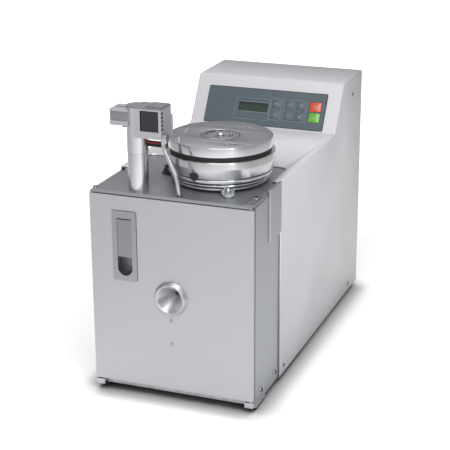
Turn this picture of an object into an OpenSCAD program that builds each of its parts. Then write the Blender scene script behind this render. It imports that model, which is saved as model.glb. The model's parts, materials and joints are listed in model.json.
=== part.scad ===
// Benchtop automatic stripping and crimping machine for wire ferrules.
// A vibratory bowl on the deck feeds ferrules up to a separator head on a column. They drop
// through a chute to four crimping jaws behind the funnel in the hinged front door.
// Origin: on the floor below the middle of the machine. +X right, +Y to the back, +Z up.

/* [Body] */
// Width of the door and of the folded body behind it
body_w = 220; // [212:1:240]
// Depth from the door's face to the back edge of the hood
body_d = 480; // [460:2:520]
// Height of the door
door_h = 256; // [250:1:262]
// Height of the door's lower edge above the floor
door_z = 17; // [16:0.5:19]
// Thickness of the door plate
door_t = 5; // [4.4:0.1:5.5]
// Height of the hood's top above the floor
hood_h = 346; // [338:1:360]
// Thickness of the hood, tray and rear sheets
sheet = 2; // [1.5:0.1:2.2]
// Thickness of the folded deck and its side walls
deck_t = 2.5; // [2:0.1:3]

/* [Control panel] */
// Width of the key panel
panel_w = 182; // [178:1:190]
// Height of the key panel up the slope
panel_v = 55; // [53:1:58]

/* [Bowl feeder] */
// Bowl centre to the right of the machine's middle
bowl_x = 32.6; // [31:0.1:36]
// Radius of the bowl's wall
bowl_r = 70; // [68:0.5:70.5]
// Radius of the bowl's lid
lid_r = 67; // [65:0.5:67.5]
// Radius of the refill shutter in the lid
shutter_r = 24; // [22:0.5:26]

/* [Tower] */
// Column centre to the left of the machine's middle
column_x = -49.5; // [-51:0.1:-48]
// Radius of the column's lower part
column_r = 13; // [12:0.1:13]
// Outer radius of the drop chute
chute_r = 3; // [2.6:0.1:3.2]

/* [Crimping unit] */
// Height of the wire funnel's axis above the floor
axis_z = 144; // [142:1:146]
// Turn of the cam ring from open to closed jaws
cam_turn = 30; // [24:1:32]
// Travel of each jaw towards the axis
jaw_travel = 2.5; // [1.5:0.1:2.6]
// Gear module of the cam ring and its pinion
gear_m = 1.6; // [1.6:0.1:1.6]
// Teeth on the cam ring
ring_teeth = 50; // [50:1:50]
// Teeth on the drive pinion
pinion_teeth = 15; // [15:1:15]

/* [Hidden] */
$fn = 64;

// Body
funnel_out = 6;                // funnel in front of the door's face
inlet_out = 2;                 // mains inlet behind the hood's back edge
front_y = -(body_d + inlet_out - funnel_out) / 2;
rear_y = front_y + body_d;
half_w = body_w / 2;
hood_over = 2;                 // hood outside the body on each side
tray_z = 8;                    // underside of the tray and of the side walls
deck_z = door_z + door_h + 5.5; // top of the deck
deck_gap = 1.5;                // gap between the door and the deck's front lip
wall_y = front_y + 8;          // front edge of the side walls
deck_end = front_y + 200;      // back edge of the folded deck, under the hood
bend_r = 6;                    // outer bend between deck and side wall
hood_y = front_y + 99;         // front edge of the hood
hood_deck = deck_z + sheet;    // top of the hood's lower deck
slope_y = front_y + 341.8;     // foot of the sloped face
slope_top_y = front_y + 382;   // top of the sloped face
slope_a = atan2(hood_h - hood_deck, slope_top_y - slope_y);
notch_x = half_w - 10;         // half width of the notch in the hood's lower deck
notch_y = front_y + 165;       // back edge of that notch
notch_r = 13;
wall_in = half_w - deck_t;     // inner face of the side walls
bulkhead_y = front_y + 62;     // front face of the bulkhead
bulkhead_t = 4;
panel_y = rear_y - sheet - 2;  // front face of the rear panel
flange_t = 3;                  // thickness of the plates outside the walls

// Door hinge
hinge_x = half_w - 3.5;
hinge_y = front_y + door_t / 2;
pin_r = 1.5;
pin_fit = 0.05;                // running clearance on the radius
block_w = 12;
block_end = front_y + 46.5;    // back end of the corner blocks

// Latch
latch_x = -62.5;
latch_w = 33;
latch_h = 93;
latch_z = 207;
paddle_w = 19.5;
paddle_top = 242;
paddle_h = 50;
paddle_pivot = [front_y + 3, 237];
cup_depth = 16;
pawl_z = 211;

// Key panel, drawn flat with X along the slope's foot and Y up the slope
panel_v0 = 3;
key_w = 14;
key_h = 13.4;
key_rows = [38, 21];
key_columns = [16.8, 37.2, 54.6];
big_w = 17;
big_h = 14.6;
big_x = 76.5;
big_rows = [37.8, 21.6];
key_fit = 0.2;
lcd = [-18, 30.4, 46, 13.5];   // middle X, middle Y, width, height

// Bowl feeder
bowl_y = front_y + 92.5;
ring_z = deck_z + 18;          // top of the fixed ring
bowl_z = ring_z + 0.7;         // underside of the bowl
bowl_h = 22.8;
bowl_wall = 6;
bowl_top = bowl_z + bowl_h;
lid_gap = 5.7;                 // dark groove between the bowl's rim and the lid
lid_h = 12.3;
lid_z = bowl_top + lid_gap;
lid_top = lid_z + lid_h;
shutter_t = 3;
shutter_fit = 0.2;
stud_ring = 48.5;
stud_angles = [-60, 60, 177];
clamp_angles = [-62, 178, 58];
clamp_ring = 76;
base_z = deck_z - 64.5;        // underside of the drive's base plate
drive_r = 52;                  // radius of the drive's base plate
carrier_z = deck_z - 16.5;

// Tower
column_y = front_y + 19;
seam_z = 327;
head = [[-48, -11], [front_y + 4, front_y + 36], [349, 386]];
window = [[-39, -14.5], [358, 384]];
slide_y = [front_y + 7, front_y + 17];
slide_z = [351.3, 355.1];
slide_x = [-33.3, -11.3];
slide_travel = 6;
chute_y = front_y + 9;
chute_points = [[-10.4, chute_y, 348.6], [-10.4, chute_y, 339], [6.3, chute_y, 303],
                [10.3, chute_y, 277], [0, front_y + 26, 156]];

// Crimping unit
housing_r = 58;
housing_y = [front_y + 30, bulkhead_y];
cam_r = 44;
cam_y = housing_y[0] + 12;
gear_y = cam_y + 8.5;
jaw_w = 12;
jaw_t = 7;
jaw_tip = 3.4;
jaw_len = 31;
jaw_pin_r = 2.5;
jaw_pin_at = 29;
jaw_angles = [45, 135, 225, 315];
mesh_angle = -45;
gear_gap = gear_m * (ring_teeth + pinion_teeth) / 2;
pinion_at = [gear_gap * cos(mesh_angle), axis_z + gear_gap * sin(mesh_angle)];
shaft_r = 4;

// Mains inlet
inlet_x = 65;
inlet_z = 55;
inlet_w = 50;
rocker_y = rear_y - 3.4;
rocker_z = inlet_z + 11;
rocker_tilt = 10;

// ---- helpers ----

// Box given by low and high values along X, Y and Z
module box(x, y, z) {
  translate([x[0], y[0], z[0]]) cube([x[1] - x[0], y[1] - y[0], z[1] - z[0]]);
}

// Extrudes a shape drawn in X and Z from Y = a to Y = b
module along_y(a, b) {
  translate([0, b, 0]) rotate([90, 0, 0]) linear_extrude(b - a) children();
}

// Extrudes a shape drawn in Y and Z from X = a to X = b
module along_x(a, b) {
  translate([a, 0, 0]) rotate([90, 0, 90]) linear_extrude(b - a) children();
}

// Cylinder between two points
module rod(p, q, r) {
  d = q - p;
  translate(p) rotate([0, acos(d[2] / norm(d)), atan2(d[1], d[0])]) cylinder(r = r, h = norm(d));
}

function unit(v) = v / norm(v);

// Rectangle centred on X with round upper corners
module arch(w, h, r) {
  translate([-w / 2, 0]) square([w, h - r]);
  translate([-w / 2 + r, 0]) square([w - 2 * r, h]);
  for (s = [-1, 1]) translate([s * (w / 2 - r), h - r]) circle(r);
}

// Rectangle w by h with all corners round, centred
module round_rect(w, h, r) {
  square([w - 2 * r, h], center = true);
  square([w, h - 2 * r], center = true);
  for (i = [-1, 1], j = [-1, 1]) translate([i * (w / 2 - r), j * (h / 2 - r)]) circle(r);
}

module mirrored() {
  children();
  mirror([1, 0, 0]) children();
}

module on_slope() {
  translate([0, slope_y, hood_deck]) rotate([slope_a, 0, 0]) children();
}

module at_bowl() {
  translate([bowl_x, bowl_y, 0]) children();
}

module around_bowl(angles, ring) {
  at_bowl() for (a = angles) rotate(a) translate([ring, 0, 0]) children();
}

// Gear outline with straight-flanked teeth that leave backlash at the pitch circle
module gear_outline(teeth, gap_first) {
  pitch_r = gear_m * teeth / 2;
  step = 360 / teeth;
  turn = gap_first ? step / 2 : 0;
  circle(pitch_r - 1.1 * gear_m);
  for (i = [0:teeth - 1]) rotate(i * step + turn) polygon([
    [pitch_r - 1.3 * gear_m, -0.95 * gear_m], [pitch_r, -0.64 * gear_m],
    [pitch_r + 0.8 * gear_m, -0.3 * gear_m], [pitch_r + 0.8 * gear_m, 0.3 * gear_m],
    [pitch_r, 0.64 * gear_m], [pitch_r - 1.3 * gear_m, 0.95 * gear_m]
  ]);
}

// ---- body ----

module base_tray() {
  color("silver") difference() {
    box([-wall_in, wall_in], [wall_y + 1, panel_y], [tray_z, 22]);
    box([-wall_in + sheet, wall_in - sheet], [wall_y + 1 + sheet, panel_y - sheet],
        [tray_z + sheet, 23]);
  }
}

module feet() {
  color("black") {
    mirrored() box([half_w - block_w + 0.5, half_w - 0.5], [front_y + 13, block_end - 0.5], [0, 3]);
    mirrored() translate([half_w - 22, rear_y - 27, 0]) {
      cylinder(r1 = 9, r2 = 10, h = 4);
      translate([0, 0, 4]) cylinder(r = 10, h = tray_z - 4);
    }
  }
}

// Blocks under the body's front corners, with a nose that reaches below the door
module corner_blocks() {
  color("gainsboro") mirrored() difference() {
    along_x(half_w - block_w, half_w) polygon([
      [front_y + 0.5, tray_z - 0.5], [front_y + 0.5, door_z - 2], [wall_y, door_z - 2],
      [wall_y, tray_z], [block_end, tray_z], [block_end, 3], [front_y + 12, 3],
      [front_y + 6, tray_z - 1]
    ]);
    translate([hinge_x, hinge_y, tray_z]) cylinder(r = pin_r, h = 20);
  }
}

module deck_profile(solid) {
  translate([0, tray_z]) difference() {
    arch(body_w, deck_z - tray_z, bend_r);
    if (!solid) translate([0, -1]) {
      arch(2 * wall_in, deck_z - tray_z - deck_t + 1, bend_r - deck_t);
    }
  }
}

module deck_shell() {
  lip_z = door_z + door_h + deck_gap;
  color("darkgray") difference() {
    union() {
      along_y(wall_y, deck_end) deck_profile(false);
      intersection() {
        union() {
          along_y(front_y, wall_y) deck_profile(false);
          along_y(front_y, front_y + deck_t) deck_profile(true);
        }
        box([-half_w, half_w], [front_y - 1, wall_y], [lip_z, deck_z + 1]);
      }
    }
    translate([hinge_x, hinge_y, lip_z - 1]) cylinder(r = pin_r + 0.6, h = 10);
    at_bowl() translate([0, 0, deck_z - 10]) cylinder(r = 20, h = 20);
    translate([chute_points[3][0], chute_y, deck_z - 10]) cylinder(r = chute_r + 1, h = 20);
  }
}

module bulkhead() {
  color("silver") difference() {
    box([-wall_in + sheet, wall_in - sheet], [bulkhead_y, bulkhead_y + bulkhead_t],
        [tray_z + sheet, deck_z - deck_t]);
    along_y(bulkhead_y - 1, bulkhead_y + 9) {
      translate(pinion_at) circle(shaft_r + 2);
      translate([-78, 60]) round_rect(30, 40, 6);
    }
    // room for the bowl's vibrating drive, which hangs from the deck
    box([bowl_x - drive_r - 3, bowl_x + drive_r + 3], [bulkhead_y - 1, bulkhead_y + bulkhead_t + 1],
        [base_z - 2, deck_z]);
  }
}

module side_outline() {
  polygon([[hood_y, tray_z], [rear_y, tray_z], [rear_y, hood_h], [slope_top_y, hood_h],
           [slope_y, hood_deck], [hood_y, hood_deck]]);
}

module skin_outline() {
  shift = sheet * tan(slope_a / 2);
  polygon([[hood_y, hood_deck], [slope_y, hood_deck], [slope_top_y, hood_h], [rear_y, hood_h],
           [rear_y, hood_h - sheet], [slope_top_y + shift, hood_h - sheet],
           [slope_y + shift, deck_z], [hood_y, deck_z]]);
}

module hood() {
  over = half_w + hood_over;
  color("gainsboro") difference() {
    union() {
      along_x(-over, over) skin_outline();
      mirrored() along_x(over - sheet, over) side_outline();
    }
    translate([0, 0, deck_z - 1]) {
      box([-notch_x, notch_x], [hood_y - 1, notch_y - notch_r], [0, 9]);
      box([-notch_x + notch_r, notch_x - notch_r], [hood_y - 1, notch_y], [0, 9]);
      mirrored() translate([notch_x - notch_r, notch_y - notch_r, 0]) cylinder(r = notch_r, h = 9);
    }
    on_slope() translate([-panel_w / 2 + 4, panel_v0 + 4, -5]) cube([panel_w - 8, panel_v - 8, 9]);
  }
}

module rear_panel() {
  color("gainsboro") difference() {
    box([-half_w, half_w], [panel_y, panel_y + sheet], [tray_z + sheet, hood_h - sheet]);
    along_y(panel_y - 1, panel_y + 9) {
      translate([inlet_x, inlet_z]) square(inlet_w - 5.6, center = true);
      for (row = [0:7]) translate([-40, 200 + row * 12]) round_rect(80, 4.6, 2.2);
      for (row = [0:4]) translate([-40, 40 + row * 12]) round_rect(80, 4.6, 2.2);
    }
  }
}

// Plates outside the walls; the right one stands above the deck's edge
module side_flanges() {
  y = [front_y + 56, hood_y];
  color("gray") {
    box([half_w, half_w + flange_t], y, [deck_z - 64, deck_z + 4.5]);
    box([-half_w - flange_t, -half_w], y, [deck_z - 64, deck_z - 7.5]);
  }
}

module upper_hinge_arm() {
  color("silver") difference() {
    union() {
      box([half_w - 12, half_w + 2], [front_y - 3, front_y + 27], [deck_z, deck_z + 3]);
      translate([half_w - 5, front_y + 27, deck_z]) cylinder(r = 7, h = 3);
    }
    translate([hinge_x, hinge_y, deck_z - 1]) cylinder(r = pin_r, h = 9);
  }
}

module hinge_pins() {
  color("silver") translate([hinge_x, hinge_y, 0]) {
    translate([0, 0, door_z + door_h - 10]) cylinder(r = pin_r, h = 18.5);
    translate([0, 0, tray_z]) cylinder(r = pin_r, h = 21);
  }
}

// Pan-head screw head, drawn pointing up
module screw_head(r, h) {
  difference() {
    cylinder(r1 = r, r2 = r * 0.8, h = h);
    translate([0, 0, h * 0.45]) cylinder(r = r * 0.42, h = h, $fn = 6);
  }
}

module cover_screws() {
  color("silver") {
    mirrored() {
      for (p = [[29.4, 22], [83.3, 22.8]]) {
        translate([half_w, front_y + p[0], p[1]]) rotate([0, 90, 0]) screw_head(3.4, 1.8);
      }
      for (p = [[116, 18.5], [430, 18.5], [430, 320]]) {
        translate([half_w + hood_over, front_y + p[0], p[1]]) {
          rotate([0, 90, 0]) screw_head(3, 1);
        }
      }
      for (z = [30, hood_h - 20]) {
        translate([half_w - 12, panel_y + sheet, z]) rotate([-90, 0, 0]) screw_head(3, 1.6);
      }
    }
    translate([half_w - 5, front_y + 24, deck_z + 3]) screw_head(3.6, 2);
    translate([-half_w + 6, front_y + 6, deck_z]) screw_head(3.2, 1.8);
  }
}

// Plate on the left wall beside the latch pawl's nose
module latch_keeper() {
  color("dimgray") {
    box([-wall_in, -wall_in + sheet], [front_y + 14, front_y + 34], [pawl_z - 14, pawl_z + 14]);
  }
}

// ---- key panel ----

module key_place(i) {
  column = floor(i / 2);
  translate([key_columns[column], key_rows[i % 2]]) children();
}

module control_bezel() {
  color("slategray") on_slope() difference() {
    union() {
      translate([0, panel_v0 + panel_v / 2, 0]) linear_extrude(1.6) round_rect(panel_w, panel_v, 1.5);
      translate([-panel_w / 2 + 4.2, panel_v0 + 4.2, -sheet]) cube([panel_w - 8.4, panel_v - 8.4, sheet]);
    }
    translate([0, 0, -5]) linear_extrude(9) {
      for (i = [0:5]) key_place(i) square([key_w, key_h], center = true);
      for (y = big_rows) translate([big_x, y]) square([big_w, big_h], center = true);
      translate([lcd[0], lcd[1]]) square([lcd[2], lcd[3]], center = true);
    }
    // groove round the display and the two key groups
    translate([0, 0, 1.3]) linear_extrude(1) {
      for (g = [[-19.5, 27.3, 53, 32.4], [16.8, 29.5, 16.6, 33], [45.9, 29.5, 35.6, 33]]) {
        translate([g[0], g[1]]) difference() {
          square([g[2], g[3]], center = true);
          square([g[2] - 1, g[3] - 1], center = true);
        }
      }
    }
  }
}

module display_module() {
  color("darkslategray") on_slope() {
    translate([-86, 8, -9]) cube([172, 45, 1.6]);
    translate([lcd[0] - lcd[2] / 2 + 0.2, lcd[1] - lcd[3] / 2 + 0.2, -7.4]) {
      cube([lcd[2] - 0.4, lcd[3] - 0.4, 8]);
    }
  }
}

// Key cap with a softly raised middle
module key_cap(w, h) {
  translate([0, 0, -3.5]) linear_extrude(5.4) {
    round_rect(w - 2 * key_fit, h - 2 * key_fit, 1);
  }
  translate([0, 0, 1.9]) linear_extrude(0.4) round_rect(w - 3, h - 3, 1);
}

module small_key(i) {
  color("slategray") on_slope() key_place(i) key_cap(key_w, key_h);
}

module key_stop() {
  color("orangered") on_slope() translate([big_x, big_rows[0]]) key_cap(big_w, big_h);
}

module key_start() {
  color("limegreen") on_slope() translate([big_x, big_rows[1]]) key_cap(big_w, big_h);
}

// ---- bowl feeder ----

module bowl_base_ring() {
  z = ring_z - 15;
  color("silver") at_bowl() rotate_extrude($fn = 96) polygon([
    [49, deck_z], [54, deck_z], [54, z], [60.2, z], [61, z + 0.8], [61, z + 4.2], [59, z + 4.2],
    [59, z + 5.2], [63.2, z + 5.2], [64, z + 6], [64, z + 9], [62, z + 9], [62, z + 10],
    [65.8, z + 10], [66.6, z + 10.8], [66.6, ring_z], [49, ring_z]
  ]);
}

module drive_base() {
  color("dimgray") at_bowl() {
    translate([0, 0, base_z]) cylinder(r = drive_r, h = 8);
    for (a = [30, 150, 270]) rotate(a) translate([47, 0, base_z + 8]) {
      cylinder(r = 4, h = deck_z - deck_t - base_z - 8);
    }
  }
}

module drive_core() {
  color("gray") at_bowl() translate([0, 0, base_z + 8]) {
    translate([-25, -9, 0]) cube([50, 18, 6]);
    for (x = [-25, 19]) translate([x, -9, 6]) cube([6, 18, 20]);
    translate([-7, -9, 6]) cube([14, 18, 20]);
  }
}

module drive_coil() {
  color("peru") at_bowl() translate([0, 0, base_z + 14]) difference() {
    translate([-18.5, -17, 0]) cube([37, 34, 17]);
    translate([-7.2, -9.2, -1]) cube([14.4, 18.4, 20]);
  }
}

module leaf_springs() {
  color("lightslategray") at_bowl() for (a = [90, 210, 330]) rotate(a) {
    translate([33, -9, base_z + 8]) cube([1.6, 18, carrier_z - base_z - 8]);
    translate([34.6, -9, base_z + 8]) cube([5, 18, 10]);
  }
}

// Moving plate, stem and flange under the bowl
module armature() {
  color("gray") at_bowl() {
    translate([0, 0, base_z + 35.3]) cylinder(r = 27, h = 5);
    translate([0, 0, base_z + 40.3]) cylinder(r = 8, h = bowl_z - 6 - base_z - 40.3);
    translate([0, 0, carrier_z]) cylinder(r = 41, h = 5);
    translate([0, 0, bowl_z - 6]) cylinder(r = 30, h = 6);
  }
}

// Short ledges that climb round the inner wall as one turn of track
module track() {
  steps = 24;
  for (i = [0:steps - 1]) rotate(i * 360 / steps) {
    translate([0, 0, bowl_z + 4 + i * 0.45]) rotate_extrude(angle = 360 / steps + 0.5) {
      translate([bowl_r - bowl_wall - 6, 0]) square([7, 1.4]);
    }
  }
}

module bowl() {
  outlet_a = -98;
  color("silver") at_bowl() difference() {
    union() {
      rotate_extrude($fn = 96) polygon([
        [0, bowl_z], [bowl_r - 4, bowl_z], [bowl_r - 3, bowl_z + 1], [bowl_r, bowl_z + 13.5],
        [bowl_r, bowl_top - 0.8],
        [bowl_r - 0.8, bowl_top], [bowl_r - bowl_wall, bowl_top], [bowl_r - bowl_wall, bowl_z + 3],
        [14, bowl_z + 4.5], [6, bowl_z + 9], [0, bowl_z + 9]
      ]);
      track();
    }
    rotate(outlet_a) translate([bowl_r - 3, 0, bowl_z + 5]) rotate([0, 90, 0]) cylinder(r = 4, h = 9);
  }
}

// Lid with a cavity below, a recess for the shutter and a half-moon refill hole
module bowl_lid() {
  color("lightgray") at_bowl() difference() {
    rotate_extrude($fn = 96) polygon([
      [0, lid_top - 6], [lid_r - 7, lid_top - 6], [lid_r - 7, bowl_top], [lid_r - 2, bowl_top],
      [lid_r - 2, lid_z], [lid_r - 0.5, lid_z], [lid_r, lid_z + 0.5], [lid_r, lid_top - 0.8],
      [lid_r - 0.8, lid_top], [0, lid_top]
    ]);
    translate([0, 0, lid_top - shutter_t]) cylinder(r = shutter_r + shutter_fit, h = 9);
    half_moon(lid_top - 9);
    for (a = stud_angles) rotate(a) for (s = [-1, 1]) {
      translate([stud_ring, 5.6 * s, lid_top - 2]) cylinder(r = 1.5, h = 9);
    }
    rotate(-60) translate([stud_ring, 10.5, lid_top - 2]) cylinder(r = 2, h = 9);
  }
}

// Half disc to the right of the shutter's screw
module half_moon(z) {
  translate([0, 0, z]) intersection() {
    cylinder(r = shutter_r - 3.5, h = 12);
    translate([4, -shutter_r, 0]) cube([shutter_r, 2 * shutter_r, 12]);
  }
}

module lid_pins() {
  color("gainsboro") at_bowl() {
    for (a = stud_angles) rotate(a) translate([stud_ring, 0, lid_top]) cylinder(r = 1.9, h = 1.2);
    rotate(-123) translate([lid_r - 3, 0, lid_top]) cylinder(r = 1.5, h = 7);
    translate([0, 0, lid_top - shutter_t]) cylinder(r = 3, h = shutter_t + 0.3);
    translate([0, 0, lid_top + 0.3]) screw_head(4.6, 1.6);
  }
}

// Disc with a half-moon hole that comes over the lid's hole after half a turn
module refill_shutter() {
  color("silver") at_bowl() difference() {
    union() {
      translate([0, 0, lid_top - shutter_t]) cylinder(r = shutter_r, h = shutter_t);
      translate([14, 0, lid_top]) cylinder(r = 2.6, h = 3);
    }
    rotate(180) half_moon(lid_top - 9);
    translate([0, 0, lid_top - 9]) cylinder(r = 3 + pin_fit, h = 20);
  }
}

// Clamps on the deck, each with a lip in the lowest groove of the fixed ring
module bowl_clamps() {
  lip_z = ring_z - 10.75;
  color("silver") around_bowl(clamp_angles, clamp_ring) {
    translate([0, 0, deck_z]) cylinder(r = 7, h = 2.5);
    translate([-13, -8, deck_z + 2.5]) cube([10, 16, 5]);
    translate([-16.8, -4, lip_z]) cube([6, 8, 0.9]);
    translate([-3, -4, deck_z + 2.5]) cube([6, 8, 4]);
    translate([0, 0, deck_z + 6.5]) cylinder(r = 3.8, h = 1.5);
    translate([0, 0, deck_z + 8]) intersection() {
      sphere(3.8);
      cylinder(r = 9, h = 9);
    }
  }
}

// ---- tower ----

module column_lower() {
  color("silver") translate([column_x, column_y, deck_z]) {
    cylinder(r = column_r + 1.2, h = 2);
    cylinder(r = column_r, h = seam_z - deck_z);
  }
}

module column_upper() {
  color("silver") difference() {
    union() {
      translate([column_x, column_y, seam_z]) cylinder(r = column_r + 0.3, h = head[2][1] - seam_z);
      box(head[0], head[1], head[2]);
      box([-16, -10], [head[1][1], head[1][1] + 3], [345, 374]);
    }
    box(window[0], [head[1][0] - 1, head[1][1] - 4], window[1]);
    box([slide_x[0] - slide_travel - 0.7, head[0][1] + 1], [slide_y[0] - 0.3, slide_y[1] + 0.3],
        [slide_z[0] - 0.3, slide_z[1] + 0.3]);
    for (i = [0:4]) translate([-12, front_y + 5.6, 360 + i * 5]) cube([9, 5, 3.2]);
  }
}

module solenoid_coil() {
  color("black") box([window[0][0] + 0.3, window[0][1] - 0.3], [head[1][0] + 1, head[1][1] - 4],
                     [window[1][0] + 0.3, window[1][1] - 0.3]);
}

// Slotted square drive housing with a saddle against the column and a fitting below
module actuator_body() {
  y = [front_y + 5, front_y + 33];
  z = [362.5, 383];
  color("gray") difference() {
    union() {
      box([-80.5, -56], y, z);
      translate([-67, column_y, z[0] - 5]) cylinder(r = 2.6, h = 6);
    }
    box([-81, -50], [y[0] - 1, y[0] + 1.5], [z[0] + 5.5, z[1] - 2.7]);
    box([-81, -50], [y[0] + 12, y[0] + 16], [z[1] - 1.5, z[1] + 1]);
    translate([column_x, column_y, z[0] - 1]) cylinder(r = column_r + 0.3, h = 40);
  }
}

module head_cover() {
  z = head[2][1];
  color("dimgray") {
    box([column_x, head[0][1]], head[1], [z, z + 1.2]);
    translate([column_x, column_y, z]) cylinder(r = column_r + 0.3, h = 1.2);
    box([-33, -11.5], [front_y + 9, front_y + 33], [z + 1.2, z + 3]);
    translate([-27, front_y + 13, z + 3]) cylinder(r = 2.4, h = 1.5);
  }
}

// Bar that lets one ferrule at a time fall into the chute
module separator_slide() {
  color("gainsboro") box(slide_x, slide_y, slide_z);
}

// Round corner at q as points of a parabola that starts and ends d from q
function corner(p, q, s, d) = let (a = q + d * unit(p - q), b = q + d * unit(s - q))
  [for (i = [0:4]) let (t = i / 4) (1 - t) ^ 2 * a + 2 * t * (1 - t) * q + t ^ 2 * b];

// Route of the chute with round corners, made longer by e at both ends
function chute_path(e) = let (p = chute_points) concat(
  [p[0] + e * unit(p[0] - p[1])],
  corner(p[0], p[1], p[2], 7), corner(p[1], p[2], p[3], 9), corner(p[2], p[3], p[4], 9),
  [p[4] + e * unit(p[4] - p[3])]
);

// Round bar of radius r along a path that never runs parallel to Y
module sweep(path, r, sides) {
  rings = len(path);
  points = [for (i = [0:rings - 1])
    let (t = unit(path[min(i + 1, rings - 1)] - path[max(i - 1, 0)]),
         u = unit(cross([0, 1, 0], t)), v = cross(t, u))
    for (k = [0:sides - 1]) path[i] + r * (cos(k * 360 / sides) * u + sin(k * 360 / sides) * v)];
  walls = [for (i = [0:rings - 2], k = [0:sides - 1]) let (n = (k + 1) % sides)
    [i * sides + k, (i + 1) * sides + k, (i + 1) * sides + n, i * sides + n]];
  first = [for (k = [0:sides - 1]) k];
  last = [for (k = [sides - 1:-1:0]) (rings - 1) * sides + k];
  polyhedron(points, concat(walls, [first, last]), convexity = 8);
}

module drop_chute() {
  color("gainsboro") difference() {
    union() {
      sweep(chute_path(0), chute_r, 16);
      box([-11, -4.6], [front_y + 4, front_y + 14], [345.2, 356]);
    }
    sweep(chute_path(1), chute_r - 1, 16);
  }
}

module hose_stubs() {
  start_x = column_x + column_r + 0.3;
  color("firebrick") {
    rod([start_x, column_y, 341.3], [-14.5, column_y, 341.3], 2.2);
    rod([start_x, column_y, 337.4], [-14.5, column_y, 337.4], 1.9);
    box([-14.5, -9.5], [column_y - 4, column_y + 4], [334.5, 344.5]);
  }
}

// ---- crimping unit ----

module at_axis() {
  translate([0, axis_z]) children();
}

module crimp_housing() {
  color("darkgray") difference() {
    along_y(housing_y[0], housing_y[1]) at_axis() round_rect(2 * housing_r, 2 * housing_r, 6);
    along_y(cam_y, housing_y[1] + 1) at_axis() circle(cam_r);
    along_y(housing_y[0] - 1, cam_y + 1) at_axis() circle(8);
    along_y(cam_y - jaw_t, cam_y + 1) at_axis() for (a = jaw_angles) rotate(a) {
      translate([0, -jaw_w / 2]) square([cam_r - 3, jaw_w]);
    }
    along_y(gear_y - 0.5, housing_y[1] + 1) translate(pinion_at) circle(gear_m * pinion_teeth / 2 + 2.5);
  }
}

// Jaw drawn on the crimp axis pointing to the right, with a wedge-shaped tip
module crimp_jaw(i) {
  half = jaw_w / 2 - 0.15;
  tip = 0.6;
  color("slategray") union() {
    along_y(cam_y - jaw_t + 0.1, cam_y - 0.2) at_axis() rotate(jaw_angles[i]) polygon([
      [jaw_tip, -tip], [jaw_tip + half - tip, -half], [jaw_tip + jaw_len, -half],
      [jaw_tip + jaw_len, half], [jaw_tip + half - tip, half], [jaw_tip, tip]
    ]);
    along_y(cam_y - 0.2, cam_y + 7) at_axis() rotate(jaw_angles[i]) {
      translate([jaw_pin_at, 0]) circle(jaw_pin_r);
    }
  }
}

// Slots that draw the jaw pins inwards as the ring turns
module cam_slots() {
  for (a = jaw_angles, t = [-2:2:cam_turn + 2]) rotate(a + t) {
    translate([jaw_pin_at - jaw_travel * t / cam_turn, 0]) circle(jaw_pin_r + 0.12);
  }
}

module cam_ring() {
  color("lightsteelblue") difference() {
    union() {
      along_y(cam_y + 0.2, gear_y) at_axis() circle(cam_r - pin_fit);
      along_y(gear_y, housing_y[1] - 0.3) at_axis() {
        rotate(mesh_angle) gear_outline(ring_teeth, false);
      }
    }
    along_y(cam_y, cam_y + 7.5) at_axis() cam_slots();
    along_y(cam_y, housing_y[1]) at_axis() circle(10);
  }
}

module drive_pinion() {
  color("goldenrod") {
    along_y(gear_y + 0.3, housing_y[1] - 0.5) translate(pinion_at) {
      rotate(mesh_angle + 180) gear_outline(pinion_teeth, true);
    }
    along_y(housing_y[1] - 0.5, bulkhead_y + bulkhead_t + 12) translate(pinion_at) circle(shaft_r);
  }
}

module gear_motor() {
  y = bulkhead_y + bulkhead_t;
  color("dimgray") difference() {
    union() {
      along_y(y, y + 32) translate(pinion_at) circle(26);
      along_y(y + 32, y + 92) translate(pinion_at) circle(22);
    }
    along_y(y - 1, y + 13) translate(pinion_at) circle(shaft_r + pin_fit);
  }
}

module scrap_tray() {
  x = 85;
  y = [front_y + 12, bulkhead_y - 3];
  z = tray_z + sheet;
  color("silver") difference() {
    box([-x, x], y, [z, z + 32]);
    box([-x + 1.5, x - 1.5], [y[0] + 1.5, y[1] - 1.5], [z + 1.5, z + 40]);
  }
}

// ---- electrics ----

module power_supply() {
  color("silver") difference() {
    box([-95, -5], [rear_y - 190, rear_y - 60], [tray_z + sheet, 62]);
    for (i = [0:8]) box([-85 + i * 9, -81 + i * 9], [rear_y - 175, rear_y - 75], [60.5, 63]);
  }
}

module control_board() {
  z = tray_z + sheet;
  color("darkgreen") {
    for (x = [14, 96], y = [rear_y - 205, rear_y - 75]) translate([x, y, z]) cylinder(r = 3, h = 10);
    box([8, 102], [rear_y - 212, rear_y - 68], [z + 10, z + 11.6]);
    box([20, 50], [rear_y - 190, rear_y - 160], [z + 11.6, z + 15]);
    box([60, 95], [rear_y - 195, rear_y - 120], [z + 11.6, z + 26]);
    for (x = [20, 38]) translate([x, rear_y - 95, z + 11.6]) cylinder(r = 7, h = 24);
  }
}

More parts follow.
